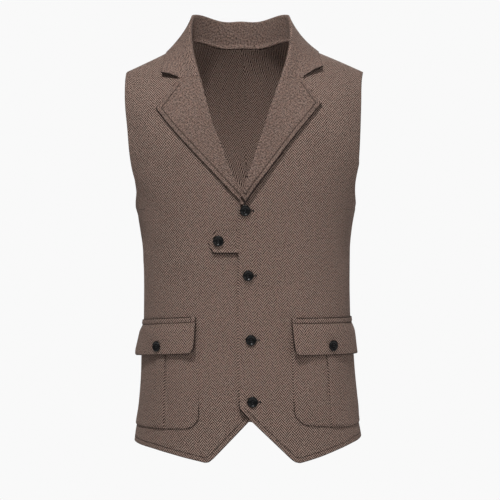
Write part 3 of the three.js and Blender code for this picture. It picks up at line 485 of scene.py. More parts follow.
def grid_normals(grid):
    """Direction across a grid: the cross product of the steps to its neighbours."""
    return unit(np.cross(np.gradient(grid, axis=1), np.gradient(grid, axis=0)))


def thick_sheet(name, grid, thickness, uv, seam, run, tight=1.0):
    """Cloth of even thickness round a grid in its middle, with round edges."""
    push = grid_normals(grid) * (rim_profile(grid, thickness / 2, tight) * thickness / 2)[..., None]
    return closed_shell(name, grid + push, grid - push, uv, seam, run)


def ladder(length, count, radius, extra=()):
    """Places from 0 to a length, close together at both rounded edges and the extra distances from them."""
    near = np.array(sorted([*(RIM * radius), *extra]))
    far = length - near[::-1]
    middle = np.linspace(near[-1], far[0], count + 2)[1:-1]
    return np.concatenate((near, middle, far))


def nearest(points, path):
    """Distance to a path and the run along it, from its closest sample point."""
    flat = points.reshape(-1, 2)
    run = np.concatenate(([0], np.cumsum(np.linalg.norm(np.diff(path, axis=0), axis=1))))
    fine = np.arange(0, run[-1], 1.0)
    path = np.stack([np.interp(fine, run, path[:, k]) for k in (0, 1)], 1)
    gap, index = np.empty(len(flat)), np.empty(len(flat), int)
    for start in range(0, len(flat), 4000):
        part = flat[start:start + 4000]
        d = (part[:, None, 0] - path[None, :, 0]) ** 2 + (part[:, None, 1] - path[None, :, 1]) ** 2
        index[start:start + 4000] = d.argmin(1)
        gap[start:start + 4000] = np.sqrt(d.min(1))
    return gap.reshape(points.shape[:-1]), fine[index].reshape(points.shape[:-1])


# Fronts and backs

def overlap_lift(side, angle, level):
    """Lift of the wearer's left front where it closes over the right one, its tab and its lapel."""
    if side < 0:
        return np.zeros(np.broadcast(angle, level).shape)
    at = skin(angle, level)
    under = mix(UNDERLAP_LIFT, LAPEL_UNDERLAP_LIFT, smooth(-415, -385, at[..., 2]))
    return under * (1 - smooth(16, 62, at[..., 0])) * (1 - smooth(-250, -190, at[..., 2]))


def fold_radius(front, level):
    """Radius of the turned-back fold: tight at the closing, fuller at the neck."""
    low, high = front["roll_line"][0][1], front["roll_line"][-1][1]
    return mix(FOLD_AT_CLOSING, FOLD_AT_NECK, smooth(low, high, level))


def inner_line(front, level):
    """Angle of front edge, roll line and neck line at a level."""
    marks = mark_at(front["front_edge"] + front["roll_line"] + front["neck_line"])
    marks = np.vstack((marks, shoulder_mark(NECK_HALF)))
    return read_table(marks[:, 1], marks[:, 0], level)


def inner_angle(front, level):
    """Inner edge of a front, set back where cloth turns over it."""
    angle = inner_line(front, level)
    bottom = front["roll_line"][0][1]
    back = (fold_radius(front, level) + FOLD_ROOM) * smooth(bottom - 7, bottom - 1, level)
    return angle + degrees_for(back, angle, level)


def outer_angle(facing, level):
    """Side seam below the armpit; above it the armhole, whose foot is an oval arc."""
    marks = mark_at(ARMHOLE_FRONT if facing == "front" else ARMHOLE_BACK, facing)
    marks = np.vstack((marks, shoulder_mark(SHOULDER_HALF, facing)))
    level = np.asarray(level, float)
    upper = read_table(marks[:, 1], marks[:, 0], level)
    rest = np.clip(1 - (level - ARMPIT_LEVEL) / (ARMHOLE_FOOT_TOP - ARMPIT_LEVEL), 0, 1)
    spread = (1 - rest ** ARMHOLE_FOOT_ROUNDNESS) ** (1 / ARMHOLE_FOOT_ROUNDNESS)
    foot = mix(SIDE_SEAM_ANGLE, marks[0, 0], spread)
    above = np.where(level >= ARMHOLE_FOOT_TOP, upper, foot)
    return np.where(level <= ARMPIT_LEVEL, SIDE_SEAM_ANGLE, above)


def panel_levels():
    """Levels of a panel's straight rows: even, closer round the armhole's foot, close to the top edge."""
    turn = np.radians(np.linspace(0, 90, 22))[1:]
    share = 1 - np.cos(turn) ** (2 / ARMHOLE_FOOT_ROUNDNESS)
    foot = ARMPIT_LEVEL + share * (ARMHOLE_FOOT_TOP - ARMPIT_LEVEL)
    rim = SHOULDER_SEAM_LEVEL - RIM[::-1] * 0.7
    return np.concatenate((
        np.arange(LOWEST_STRAIGHT_ROW, ARMPIT_LEVEL, 4.5),
        [ARMPIT_LEVEL - 0.8, ARMPIT_LEVEL],
        foot,
        np.linspace(ARMHOLE_FOOT_TOP, rim[0], 84)[1:-1],
        rim,
    ))


def hem_level(half, angle):
    """Level of the hem: the table's, and beside the side seam each half's own rise."""
    tip, full, behind, gone = HEM_RISE_ANGLES
    share = smooth(tip, full, angle) * (1 - smooth(behind, gone, angle))
    return read_table(HEM[:, 0], HEM[:, 1], angle) + half["hem_rise"] * share


def front_hem(front, angle):
    """Hem of a front: a straight cutaway from the corner down to the tip, then a slow rise to the side."""
    corner = front["hem_corner"]
    tip_x = skin(front["hem_tip"], HEM[0, 1])[0]
    across = skin(angle, HEM[0, 1])[..., 0]
    share = (across - corner[0]) / (tip_x - corner[0])
    sharp = np.where(angle >= front["hem_tip"], hem_level(front, angle), mix(corner[1], HEM[0, 1], share))
    high, wide = TIP_ROUNDING
    return sharp + high * bell(across - tip_x, wide)


def panel_columns(near, far, level, middle, counts):
    """Shares across rows: rounded edges in millimetres, the rest even on both sides of a middle share."""
    width = np.abs(far - near)[:, None]
    first = RIM * CLOTH / 2 * degrees_for(1.0, near, level)[:, None] / width
    last = 1 - RIM[::-1] * CLOTH / 2 * degrees_for(1.0, far, level)[:, None] / width
    to_middle = mix(first[:, -1:], middle, np.linspace(0, 1, counts[0])[1:])
    from_middle = mix(middle, last[:, :1], np.linspace(0, 1, counts[1])[1:-1])
    return np.concatenate((first, to_middle, from_middle, last), 1)


def hem_rows(hem, count):
    """Shares of the way up from the hem to the lowest straight row: a rounded edge, then even rows."""
    rise = LOWEST_STRAIGHT_ROW - hem
    up = np.concatenate((RIM * CLOTH / 2, np.linspace(1, 100, count)[1:]))[:, None]
    return np.where(up <= 1, up / rise, mix(1 / rise, 1, (up - 1) / 99))[:-1]


def armhole_gap(uv, levels):
    """Distance from the armhole's edge, over the cloth."""
    return nearest(uv, uv[levels[:, -1] >= ARMPIT_LEVEL, -1])[0]


def panel_shell(name, angles, levels, lift, uv, seam, run):
    """Wall of panel cloth under the form's outer face."""
    middle = lifted(angles, levels, lift - CLOTH / 2)
    return thick_sheet(name, middle, CLOTH, uv, seam, run)


def front_panel(front):
    """Front from hem to shoulder and from the front edge to side seam and armhole."""
    side, tip_level = front["side"], HEM[0, 1]
    left = lambda level: inner_angle(front, level)
    right = lambda level: outer_angle("front", level)
    tip_share = (front["hem_tip"] - left(tip_level)) / (right(tip_level) - left(tip_level))

    def row_angles(level):
        """Angles along the rows at these levels."""
        a, b = left(level), right(level)
        return mix(a[:, None], b[:, None], panel_columns(a, b, level, tip_share, (25, 54)))

    foot, head = (row_angles(np.full(1, level))[0] for level in (tip_level, LOWEST_STRAIGHT_ROW))
    hem = front_hem(front, foot)
    share = hem_rows(hem, 24)
    straight = panel_levels()
    upper = row_angles(straight)
    angles = np.concatenate((mix(foot, head, share), upper))
    level_rows = np.broadcast_to(straight[:, None], upper.shape)
    levels = np.concatenate((mix(hem, LOWEST_STRAIGHT_ROW, share), level_rows))
    lift = overlap_lift(side, side * angles, levels)
    uv = on_cloth(angles, levels)
    gap, run = nearest(uv, uv[0])
    closing = levels[:, 0] < front["roll_line"][0][1] - 4
    gap_edge, _ = nearest(uv, uv[closing, 0])
    gap_arm = armhole_gap(uv, levels)
    inset, shade = gap - STITCH_INSET, 0
    if side > 0:
        out = gap_edge + np.abs(levels - front["hem_corner"][1])
        lift = lift + CORNER_CURL * bell(np.hypot(gap, 0.35 * out), CORNER_REACH)
        inset = np.where(np.abs(inset) < FAINT_STITCH, FAINT_STITCH, inset)
        # the painted shade along the edges near the curled lower corner is widened
        shade = 2 * DEEP_SHADE * (np.minimum(gap, gap_edge) < SHADED_REACH) * bell(out, 22)
    seam = np.where(run > run.max() - 1.0, LEFT_PLAIN, inset)
    turned = np.minimum(gap_edge, gap_arm)
    # the painted shade of the front and armhole edges is narrowed a little
    seam = np.where(turned < gap, plain_edge(turned + np.where(gap_edge < gap_arm, 1.0, 0.3)), seam) - shade
    uv = uv * [side, 1] + [FRONT_SHIFT * (side < 0), 0]
    return panel_shell(f"cloth_front_{front['name']}", side * angles, levels, lift, uv, seam, run)


def back_neck(share):
    """Neck line and collar edge behind, from the shoulder seam (0) to the centre back (1)."""
    across = np.cos(np.radians(share * 90))
    dip = 1 - across ** BACK_NECK_ROUNDNESS
    at = lambda width, level: np.stack([angle_across(width * across, level, "back"), level], -1)
    return at(NECK_HALF, -BACK_NECK_DIP * dip), at(COLLAR_EDGE_AT_SHOULDER, COLLAR_EDGE_AT_BACK * dip)


def back_panel(half):
    """Back from the centre back seam to side seam and armhole, its neck scooped out under the collar."""
    side = half["side"]
    outer = lambda level: outer_angle("back", level)

    def set_back(share):
        """Panel edge at the neck, back from the neck line by the collar's fold."""
        neck, edge = back_neck(share)
        mark = mix(neck, edge, ((FOLD_AT_NECK + FOLD_ROOM) / distance(neck, edge))[..., None])
        return np.minimum(mark, [CENTRE_BACK, SHOULDER_SEAM_LEVEL])

    neck_share = float((CENTRE_BACK - set_back(np.zeros(1))[0, 0]) / (CENTRE_BACK - outer(0.0)))

    def columns(level):
        """Shares across the rows at these levels, with one at the neck point of the shoulder."""
        far = outer(level)
        return panel_columns(np.full_like(far, CENTRE_BACK), far, level, neck_share, (29, 34))

    low = np.full(1, LOWEST_STRAIGHT_ROW)
    foot = mix(CENTRE_BACK, outer(low), columns(low)[0])
    hem = hem_level(half, foot)
    share = hem_rows(hem, 18)
    straight = panel_levels()
    straight = straight[straight <= UNDER_BACK_NECK]
    middle = mix(CENTRE_BACK, outer(straight)[:, None], columns(straight))

    base_level = straight[-1]
    cols = columns(np.full(1, base_level))[0]
    tops = np.concatenate((np.linspace(0, 1, 36)[1:-1], 1 - RIM[::-1] * 0.008))
    heights = mix(base_level, SHOULDER_SEAM_LEVEL, tops)
    upper = mix(CENTRE_BACK, outer(heights)[:, None], cols[None, :])
    high = np.broadcast_to(heights[:, None], upper.shape).copy()
    inside = cols <= neck_share + 1e-9
    scoop = set_back(1 - np.clip(cols[inside] / neck_share, 0, 1))
    base_angle = mix(CENTRE_BACK, outer(base_level), cols[inside])
    upper[:, inside] = mix(base_angle, scoop[:, 0], tops[:, None])
    high[:, inside] = mix(base_level, scoop[:, 1], tops[:, None])

    angles = np.concatenate((np.broadcast_to(foot, share.shape), middle, upper))
    level_rows = np.broadcast_to(straight[:, None], middle.shape)
    levels = np.concatenate((mix(hem, LOWEST_STRAIGHT_ROW, share), level_rows, high))
    uv = on_cloth(angles, levels)
    gap, run = nearest(uv, uv[0])
    gap_arm = armhole_gap(uv, levels)
    seam = np.where(gap_arm < gap, plain_edge(gap_arm), gap - STITCH_INSET)
    lift = np.zeros(angles.shape)
    return panel_shell(f"cloth_back_{half['name']}", side * angles, levels, lift, uv * [side, 1], seam, run)


# Turned-back pieces

def path_through(marks):
    """Path over the form through marks, read by the share of its length."""
    marks = np.array(marks)
    lengths = distance(marks[:-1], marks[1:])
    at = np.concatenate(([0], np.cumsum(lengths)))

    def read(share):
        """Marks at shares of the length."""
        return np.stack([np.interp(share * at[-1], at, marks[:, k]) for k in (0, 1)], -1)

    return at[-1], lengths[0] / at[-1], read


def roll_lift(radius, along):
    """Height of turned cloth: the fold's own height beside it, then down flat on the panel."""
    return mix(2 * radius - CLOTH / 2, ROLL_REST, smooth(radius, ROLL_FADE, along))


def edge_spring(along, length, high):
    """Turned cloth springs up towards its free edge, over the last stretch."""
    return high * smooth(0.62, 1.0, along / length) ** 1.6


def lapel(front):
    """Lapel: an arc over the edge of its front, then flat on it out to the lapel's edge."""
    side, roll, edge = front["side"], front["roll_line"], np.array(front["lapel_edge"], float)
    gorge, tip = mark_at(roll[-1]), mark_at(edge[-1])
    total, notch_share, read = path_through([gorge, mark_at(front["notch"]), tip])
    bottom = float(roll[0][1])
    height = ladder(gorge[1] - bottom, 96, TURNED_CLOTH / 2 * 0.7)
    levels = bottom + height
    row = height / height[-1]
    start = np.stack([inner_line(front, levels), levels], -1)
    heights = mix(edge[0, 1], edge[-1, 1], row)
    end = mark_at(np.stack([read_table(edge[:, 1], edge[:, 0], heights), heights], -1))
    radius = fold_radius(front, levels)
    bend = row ** GORGE_BEND
    length = mix(distance(start, end), total, bend)
    turns = np.radians(np.linspace(-90, 90, 15))
    arc_along = radius[:, None] * (1 - np.cos(turns))
    arc_lift = radius[:, None] - CLOTH / 2 + radius[:, None] * np.sin(turns)
    leaf_share = np.linspace(0, 1, 37)[1:]
    rim = length[:, None] - RIM[::-1] * TURNED_CLOTH / 2
    leaf_along = np.concatenate((mix(radius[:, None], rim[:, :1], leaf_share[:-1]), rim), 1)
    high = (front["lapel_spring"] * mix(1, 0.48, smooth(0.1, 0.6, row)))[:, None]
    leaf_lift = roll_lift(radius[:, None], leaf_along) + edge_spring(leaf_along, length[:, None], high)
    along = np.concatenate((arc_along, leaf_along), 1)
    lift = np.concatenate((arc_lift, leaf_lift), 1)
    share = along / length[:, None]
    flat = mix(start[:, None], end[:, None], share[..., None])
    marks = flat + bend[:, None, None] * (read(share) - mix(gorge, tip, share[..., None]))
    angles, marks_level = side * marks[..., 0], marks[..., 1]
    grid = lifted(angles, marks_level, overlap_lift(side, angles, marks_level) + lift)
    over = np.concatenate((-arc_along[:, :7], arc_along[:, 7:], leaf_along), 1)
    place = np.stack([over, np.broadcast_to(steps(grid, 0)[0][:, [20]], over.shape)], -1)
    flat_uv = on_cloth(np.abs(angles), marks_level)
    beyond_notch = share[-1] >= notch_share
    gap, run = nearest(flat_uv, np.concatenate((flat_uv[:, -1], flat_uv[-1, beyond_notch][::-1])))
    gap_out, _ = nearest(flat_uv, flat_uv[:, -1])
    # the painted shade along the lapel's outer edge is widened, most on the wearer's left; along the notch
    # edge it is narrowed
    edge_shade, notch_shade = mix(0.2, 1.0, side > 0) * DEEP_SHADE, -0.6 * (gap < SHADED_REACH)
    shade = np.where(gap_out < SHADED_REACH, edge_shade, notch_shade)
    gap = np.where(run > run.max() - 0.5, LEFT_PLAIN, gap - shade)
    cosine, sine = math.cos(WEAVE_TILT), math.sin(WEAVE_TILT)
    across, up = place[..., 0], place[..., 1]
    uv = np.stack([across * cosine + up * sine, up * cosine - across * sine], -1)
    tight = np.where(share < notch_share, SEWN_TIGHT, 1.0)
    name = f"cloth_lapel_{front['name']}"
    return thick_sheet(name, grid, TURNED_CLOTH, uv, gap - STITCH_INSET, run, tight)


def collar_half(front):
    """Sections of half the collar, from the gorge to the centre back: foot, stand, fold and leaf."""
    side, radius = front["side"], FOLD_AT_NECK
    gorge, corner = mark_at(front["roll_line"][-1]), mark_at(front["collar_corner"])
    total_path, notch_share, read = path_through([gorge, mark_at(front["notch"]), corner])
    share = np.concatenate((RIM * 0.012, np.linspace(0.012, 1, 44)[1:]))
    behind = np.linspace(0, 1, 41)[1:]
    level = gorge[1] * (1 - share)
    neck_behind, edge_behind = back_neck(behind)
    neck = np.concatenate((np.stack([inner_line(front, level), level], -1), neck_behind))
    shoulder = shoulder_mark(COLLAR_EDGE_AT_SHOULDER)
    edge = np.concatenate((mix(corner, shoulder, share[:, None]), edge_behind))
    zero = np.zeros(len(behind))
    bend = np.concatenate(((1 - share) ** (2 * GORGE_BEND), zero))
    stand = np.concatenate((mix(STAND_AT_GORGE, STAND_AT_SHOULDER, share ** STAND_GROWTH),
                            mix(STAND_AT_SHOULDER, STAND_AT_BACK, behind)))
    upright = np.concatenate((share, zero + 1))
    hug = np.concatenate((1 - smooth(0.1, 0.95, share), zero))
    total = mix(distance(neck, edge), total_path, bend)

    def marks(part):
        """Marks at shares across each section."""
        flat = mix(neck[:, None], edge[:, None], part[..., None])
        turned = bend[:, None, None] * (read(part) - mix(gorge, corner, part[..., None]))
        return (flat + turned) * [side, 1]

    turns = np.radians(np.linspace(-90, 0, 8))
    foot_marks = marks(radius * (1 - np.cos(turns))[None, :] / total[:, None])
    foot_lift = radius - CLOTH / 2 + radius * np.sin(turns)
    foot = lifted(*parts(foot_marks), np.broadcast_to(foot_lift, foot_marks.shape[:2]))
    base = foot[:, -1]
    neck_side, edge_side = parts(neck * [side, 1]), parts(edge * [side, 1])
    straight = unit(mix(outward(*neck_side), np.array([0, 0, 1.0]), upright[:, None]))
    towards = skin(*edge_side) - base
    dot = lambda a, b: np.sum(a * b, -1, keepdims=True)
    across = unit(towards - straight * dot(towards, straight))
    up = unit(straight - across * STAND_LEAN * upright[:, None])
    out = unit(towards - up * dot(towards, up))
    top = base + up * stand[:, None]
    rise = mix(base[:, None], top[:, None], np.linspace(0, 1, 8)[1:, None])
    turns = np.radians(np.linspace(0, 90, 8))[1:, None]
    fold = top[:, None] + radius * (out[:, None] * (1 - np.cos(turns)) + up[:, None] * np.sin(turns))
    first = fold[:, -1]
    spring = COLLAR_SPRING * (1 - smooth(0.0, 0.35, upright))
    end = lifted(*edge_side, ROLL_REST - 0.4)
    hollow = mix(first, end, 0.5) - out * COLLAR_HOLLOW
    rim = 1 - RIM[::-1] * (TURNED_CLOTH / 2) / total[:, None]
    part = np.concatenate((mix(0, rim[:, :1], np.linspace(0, 1, 29)[1:-1]), rim), 1)
    t = part[..., None]
    drop = first[:, None] * (1 - t) ** 2 + 2 * hollow[:, None] * t * (1 - t) + end[:, None] * t * t
    along = mix(radius, total[:, None], part)
    lying_lift = roll_lift(radius, along) + (0.4 + spring)[:, None] * smooth(0.3, 1.0, part)
    lying = lifted(*parts(marks(along / total[:, None])), lying_lift + (stand * hug)[:, None] * (1 - part))
    leaf = mix(drop, lying, hug[:, None, None])
    up_to_leaf = foot.shape[1] + rise.shape[1] + fold.shape[1]
    sewn = np.concatenate((np.ones(up_to_leaf, bool), along[0] / total[0] < notch_share))
    return np.concatenate((foot, rise, fold, leaf), 1), sewn


def collar():
    """Whole collar: two halves joined at the centre back, evened out along its length."""
    (left, sewn_left), (right, sewn_right) = collar_half(WEARERS_LEFT), collar_half(WEARERS_RIGHT)
    grid = np.concatenate((left, right[-2::-1]))
    for _ in range(10):
        evened = (grid[:-2] + 2 * grid[1:-1] + grid[2:]) / 4
        weight = smooth(6, 14, np.arange(1, len(grid) - 1))[:, None, None]
        weight = weight * smooth(6, 14, np.arange(len(grid) - 2, 0, -1))[:, None, None]
        grid[1:-1] = mix(grid[1:-1], evened, weight)
    along, rest_along = steps(grid, 0)
    over, rest = steps(grid, 1)
    uv = np.stack([along * 0.8 + over * 0.6, over * 0.8 - along * 0.6], -1)
    first_half = (np.arange(len(grid)) < len(left))[:, None]
    tight = np.where(np.where(first_half, sewn_left, sewn_right), SEWN_TIGHT, 1.0)
    # the painted shade at the collar's free ends is widened
    ends = np.minimum(along, rest_along) - 1.6 * DEEP_SHADE
    gap = np.minimum(rest, np.where(tight > 1, LEFT_PLAIN, ends))
    return thick_sheet("cloth_collar", grid, TURNED_CLOTH, uv, plain_edge(gap), over, tight)


# Pockets, flaps and tab

def pocket_frame(front):
    """Width of a pocket, its pleat's place and the angle of a place on it."""
    inner, strip, outer = front["pocket"]
    middle = mix(POCKET_TOP, front["pocket_bottom"][1], 0.5)
    start = float(angle_across(inner, middle))
    angles = mix(start, outer, np.linspace(0, 1, 81))
    marks = np.stack([angles, np.full(81, middle)], -1)
    ruler = np.concatenate(([0], np.cumsum(distance(marks[:-1], marks[1:]))))

    def angle_of(place, level):
        """Angle of a place; the pocket's inner edge follows the form's width."""
        lean = (angle_across(inner, level) - start) * np.maximum(0, 1 - place / POCKET_CORNER)
        return np.interp(place, ruler, angles) + lean

    return ruler[-1], float(np.interp(float(angle_across(strip, middle)), angles, ruler)), angle_of


def corner_rise(radius, from_edge):
    """Rise of a rounded corner near an edge: r minus the root of r squared minus the rest of r squared."""
    rest = np.clip(radius - from_edge, 0, radius)
    return radius - np.sqrt(radius ** 2 - rest ** 2)


def pocket(front):
    """Patch pocket that is sewn down round its edge, with a box pleat down its middle."""
    side = front["side"]
    width, strip_at, angle_of = pocket_frame(front)
    pleat_lines = (-2.5, -1.2, -0.4, 0.2, 0.9, STRIP_STEP, 2.6)
    places = np.unique(np.concatenate((
        ladder(width, 46, POCKET_EDGE, (2.6, 4.0, 7.0)),
        [strip_at + s * (STRIP_HALF + d) for s in (-1, 1) for d in pleat_lines],
        [0.03, 11, POCKET_CORNER],
    )))
    rows = ladder(1.0, 56, 0.011, (0.018, 0.03))
    beside = np.abs(places - strip_at) - STRIP_HALF
    swing = front["pleat_lean"] * smooth(0.0, 0.4, rows)[:, None] * (1 - smooth(0, 22, beside))
    bottom = read_table([0, width / 2, width], front["pocket_bottom"], places)
    bottom = bottom + corner_rise(POCKET_CORNER, places)
    levels = mix(POCKET_TOP, bottom[None, :], rows[:, None])
    place = places + swing
    angles = side * angle_of(place, levels)
    flat = np.stack([place, levels], -1)
    gap, _ = nearest(flat, np.concatenate((flat[:, 0], flat[-1])))
    edge_gap = np.minimum(gap, width - place)
    rounding = half_round(edge_gap, POCKET_EDGE)
    belly = POCKET_BELLY * smooth(0, POCKET_BORDER, edge_gap) * 1.5
    drop = rows[:, None]
    raised = mix(0.6, 2.4, smooth(0.1, 0.4, drop)) * (1 - smooth(0, STRIP_STEP, beside))
    raised = raised * (1 - 0.6 * smooth(0.95, 1.0, drop))
    groove = -0.7 * bell(beside - 1.1, 1.2)
    soft = 0.6 * np.sin(place / 21 + 1.3 * side) * np.sin(levels / 34) * smooth(0, 20, edge_gap)
    base = overlap_lift(side, angles, levels) + SEAM_GAP
    outer = lifted(angles, levels, base + rounding * (TURNED_CLOTH + belly + raised + groove + soft))
    inner = lifted(angles, levels, base)
    outer[0], outer[-1], outer[:, 0], outer[:, -1] = inner[0], inner[-1], inner[:, 0], inner[:, -1]
    uv = on_cloth(np.abs(angles), levels) * [side, 1] + [2.1, 1.4]
    line = np.abs(beside - 0.6) + 0.6 * smooth(0.2, 0.5, drop)
    line = np.where(place < strip_at, line, np.maximum(line, FAINT_STITCH))
    # the painted shade along the pocket's edge fades out up its inner side
    pale = 2.2 * smooth(14, 32, levels - bottom) * (place < width / 2)
    seam = np.where(edge_gap < EDGE_REACH, edge_gap - STITCH_INSET + pale, line)
    return closed_shell(f"cloth_pocket_{front['name']}", outer, inner, uv, seam, levels)


def flap_lift(front, below, angle):
    """Outer face of a flap: a pressed band and its stitched groove at the top, then out over the pocket."""
    flare = front["flap"]["flare"] * smooth(45, 90, np.abs(angle))
    flare = flare * (np.maximum(below, 0) / FLAP_FALL) ** 1.5
    return read_table(FLAP_ROWS[:, 0], FLAP_ROWS[:, 1], below) + flare


def flap(front):
    """Flap over a pocket, sewn along its top, with rounded lower corners."""
    side = front["side"]
    width, strip_at, angle_of = pocket_frame(front)
    places = np.unique(np.concatenate((ladder(width, 52, 0.9, (1.6, 2.6, 4.2, 6.4)), [0.02, width - 0.02])))
    belows = ladder(FLAP_FALL, 30, 0.9, (6.2, 7.2, 8.0, 8.8, 9.8, 11))
    rise = corner_rise(FLAP_CORNER, np.minimum(places, FLAP_END_SPREAD * (width - places)))
    below = np.broadcast_to(belows[:, None], (len(belows), len(places)))
    cut = front["flap"]
    row = below / FLAP_FALL
    level = cut["top"] - (cut["fall"] - rise[None, :]) * row
    place = np.broadcast_to(places[None, :], level.shape)
    inset = mix(*cut["inset"], row) * np.maximum(0, 1 - place / FLAP_INSET_FADE)
    angles = side * angle_of(place + inset, level)
    levels = level - cut["drop"] * place / width
    flat = np.stack([place, level], -1)
    gap, _ = nearest(flat, np.concatenate((flat[:, 0], flat[-1], flat[::-1, -1])))
    band = 0.9 * bell(below - 4.2, 2.6) - 1.1 * bell(below - FLAP_STITCH, 1.2)
    button = 0.8 * bell(np.hypot(place - strip_at, level - cut["button"]), 14)
    wave = 0.5 * np.sin(place / 17 + 2.1 * side) * smooth(20, 55, below)
    curl = FLAP_CURL * bell(place, FLAP_CURL_REACH) * smooth(22, 55, below)
    lift = flap_lift(front, below, angles) + band - button + wave + curl
    middle = lifted(angles, levels, np.maximum(lift - TURNED_CLOTH / 2, SEAM_GAP + TURNED_CLOTH / 2))
    uv = on_cloth(np.abs(angles), levels) * [side, 1] + [-1.9, 2.3]
    # the painted shade along the flap's edges is widened towards its lower edge
    shade = mix(0.3, DEEP_SHADE, smooth(40, 55, below))
    from_stitch = below - FLAP_STITCH
    seam = np.where(gap < np.abs(from_stitch), plain_edge(gap - shade), from_stitch)
    return thick_sheet(f"cloth_flap_{front['name']}", middle, TURNED_CLOTH, uv, seam, place)


def button_below(front):
    """Row of the flap under its button: the button's fall from the top, less the flap's slope and cut."""
    width, strip_at, _ = pocket_frame(front)
    cut = front["flap"]
    return (cut["top"] - cut["drop"] * strip_at / width - cut["button"]) * FLAP_FALL / cut["fall"]


def chest_tab():
    """Pointed tab on the wearer's right front, with a pressed border."""
    rows = ladder(TAB_TOP - TAB_BOTTOM, 26, 0.9, (4.0, 5.0, 6.0))
    heights = np.unique(np.concatenate((TAB_BOTTOM + rows, [TAB_POINT[1]])))
    ends = np.interp(heights, [TAB_BOTTOM, TAB_POINT[1], TAB_TOP], [TAB_FOOT, TAB_POINT[0], TAB_SHOULDER])
    across = mix(TAB_TUCKED, ends[:, None], ladder(1.0, 34, 0.018, (0.09, 0.12)))
    flat = np.stack([across, np.broadcast_to(heights[:, None], across.shape)], -1)
    angles, levels = parts(mark_at(flat))
    gap, run = nearest(flat, np.concatenate((flat[0], flat[:, -1], flat[-1][::-1])))
    above = flat[..., 1] - TAB_BOTTOM
    bump = 0.25 * bell(gap - 2.5, 2.0) + 0.6 * smooth(6, 14, gap)
    lip = TAB_LIP * (1 - smooth(0, 9, above))
    # the painted shade along the tab's edge is widened at its lower edge and narrowed higher up
    shade = mix(DEEP_SHADE, -0.4, smooth(6, 22, above))
    grid = lifted(-angles, levels, SEAM_GAP + TURNED_CLOTH / 2 + bump + lip)
    uv = np.stack([-across, flat[..., 1]], -1) + [0.9, 2.2]
    return thick_sheet("cloth_chest_tab", grid, TURNED_CLOTH, uv, plain_edge(gap - shade), run)


# Materials

def linear(code):
    """Linear colour of an sRGB hex code, by the standard curve."""
    shares = [int(code[i:i + 2], 16) / 255 for i in (0, 2, 4)]
    return tuple(c / 12.92 if c <= 0.04045 else ((c + 0.055) / 1.055) ** 2.4 for c in shares) + (1.0,)


class Graph:
    """Adds nodes to one material and wires them."""

    def __init__(self, name):
        self.material = bpy.data.materials.new(name)
        self.material.use_nodes = True
        self.tree = self.material.node_tree
        self.shader = self.tree.nodes["Principled BSDF"]

    def add(self, kind, inputs=(), out=0, **settings):
        """One node: settings on it, then values or links on its sockets; returns one output."""
        node = self.tree.nodes.new("ShaderNode" + kind)
        for key, value in settings.items():
            setattr(node, key, value)
        for key, value in dict(inputs).items():
            if isinstance(value, bpy.types.NodeSocket):
                self.tree.links.new(value, node.inputs[key])
            else:
                node.inputs[key].default_value = value
        return node.outputs[out]

    def math(self, operation, a, b=0.0, c=0.0):
        """One sum on plain numbers or outputs."""
        return self.add("Math", {0: a, 1: b, 2: c}, operation=operation)

    def spread(self, value, factor, base):
        """Base plus a factor times how far a value lies above one half."""
        return self.math("MULTIPLY_ADD", self.math("SUBTRACT", value, 0.5), factor, base)

    def noise(self, place, scale, detail=2.0, roughness=0.5):
        """Cloudy value between 0 and 1, with some lumps for each metre."""
        inputs = {"Vector": place, "Scale": scale, "Detail": detail, "Roughness": roughness}
        return self.add("TexNoise", inputs)

    def span(self, value, low, high, to_low=0.0, to_high=1.0):
        """Value carried from one range to another, eased and held at the ends."""
        inputs = {0: value, 1: low, 2: high, 3: to_low, 4: to_high}
        return self.add("MapRange", inputs, interpolation_type="SMOOTHSTEP")

    def blend(self, share, a, b):
        """Mix of two colours."""
        return self.add("Mix", {0: share, 6: a, 7: b}, out=2, data_type="RGBA")

    def set(self, **values):
        """Values or links on the surface's own sockets, underscores for spaces."""
        for key, value in values.items():
            socket = self.shader.inputs[key.replace("_", " ")]
            if isinstance(value, bpy.types.NodeSocket):
                self.tree.links.new(value, socket)
            else:
                socket.default_value = value


SLANT = 1.2                    # rise of a rib of the weave for each metre across it
STITCH_LENGTH = 0.0040         # one stitch and its gap, in metres


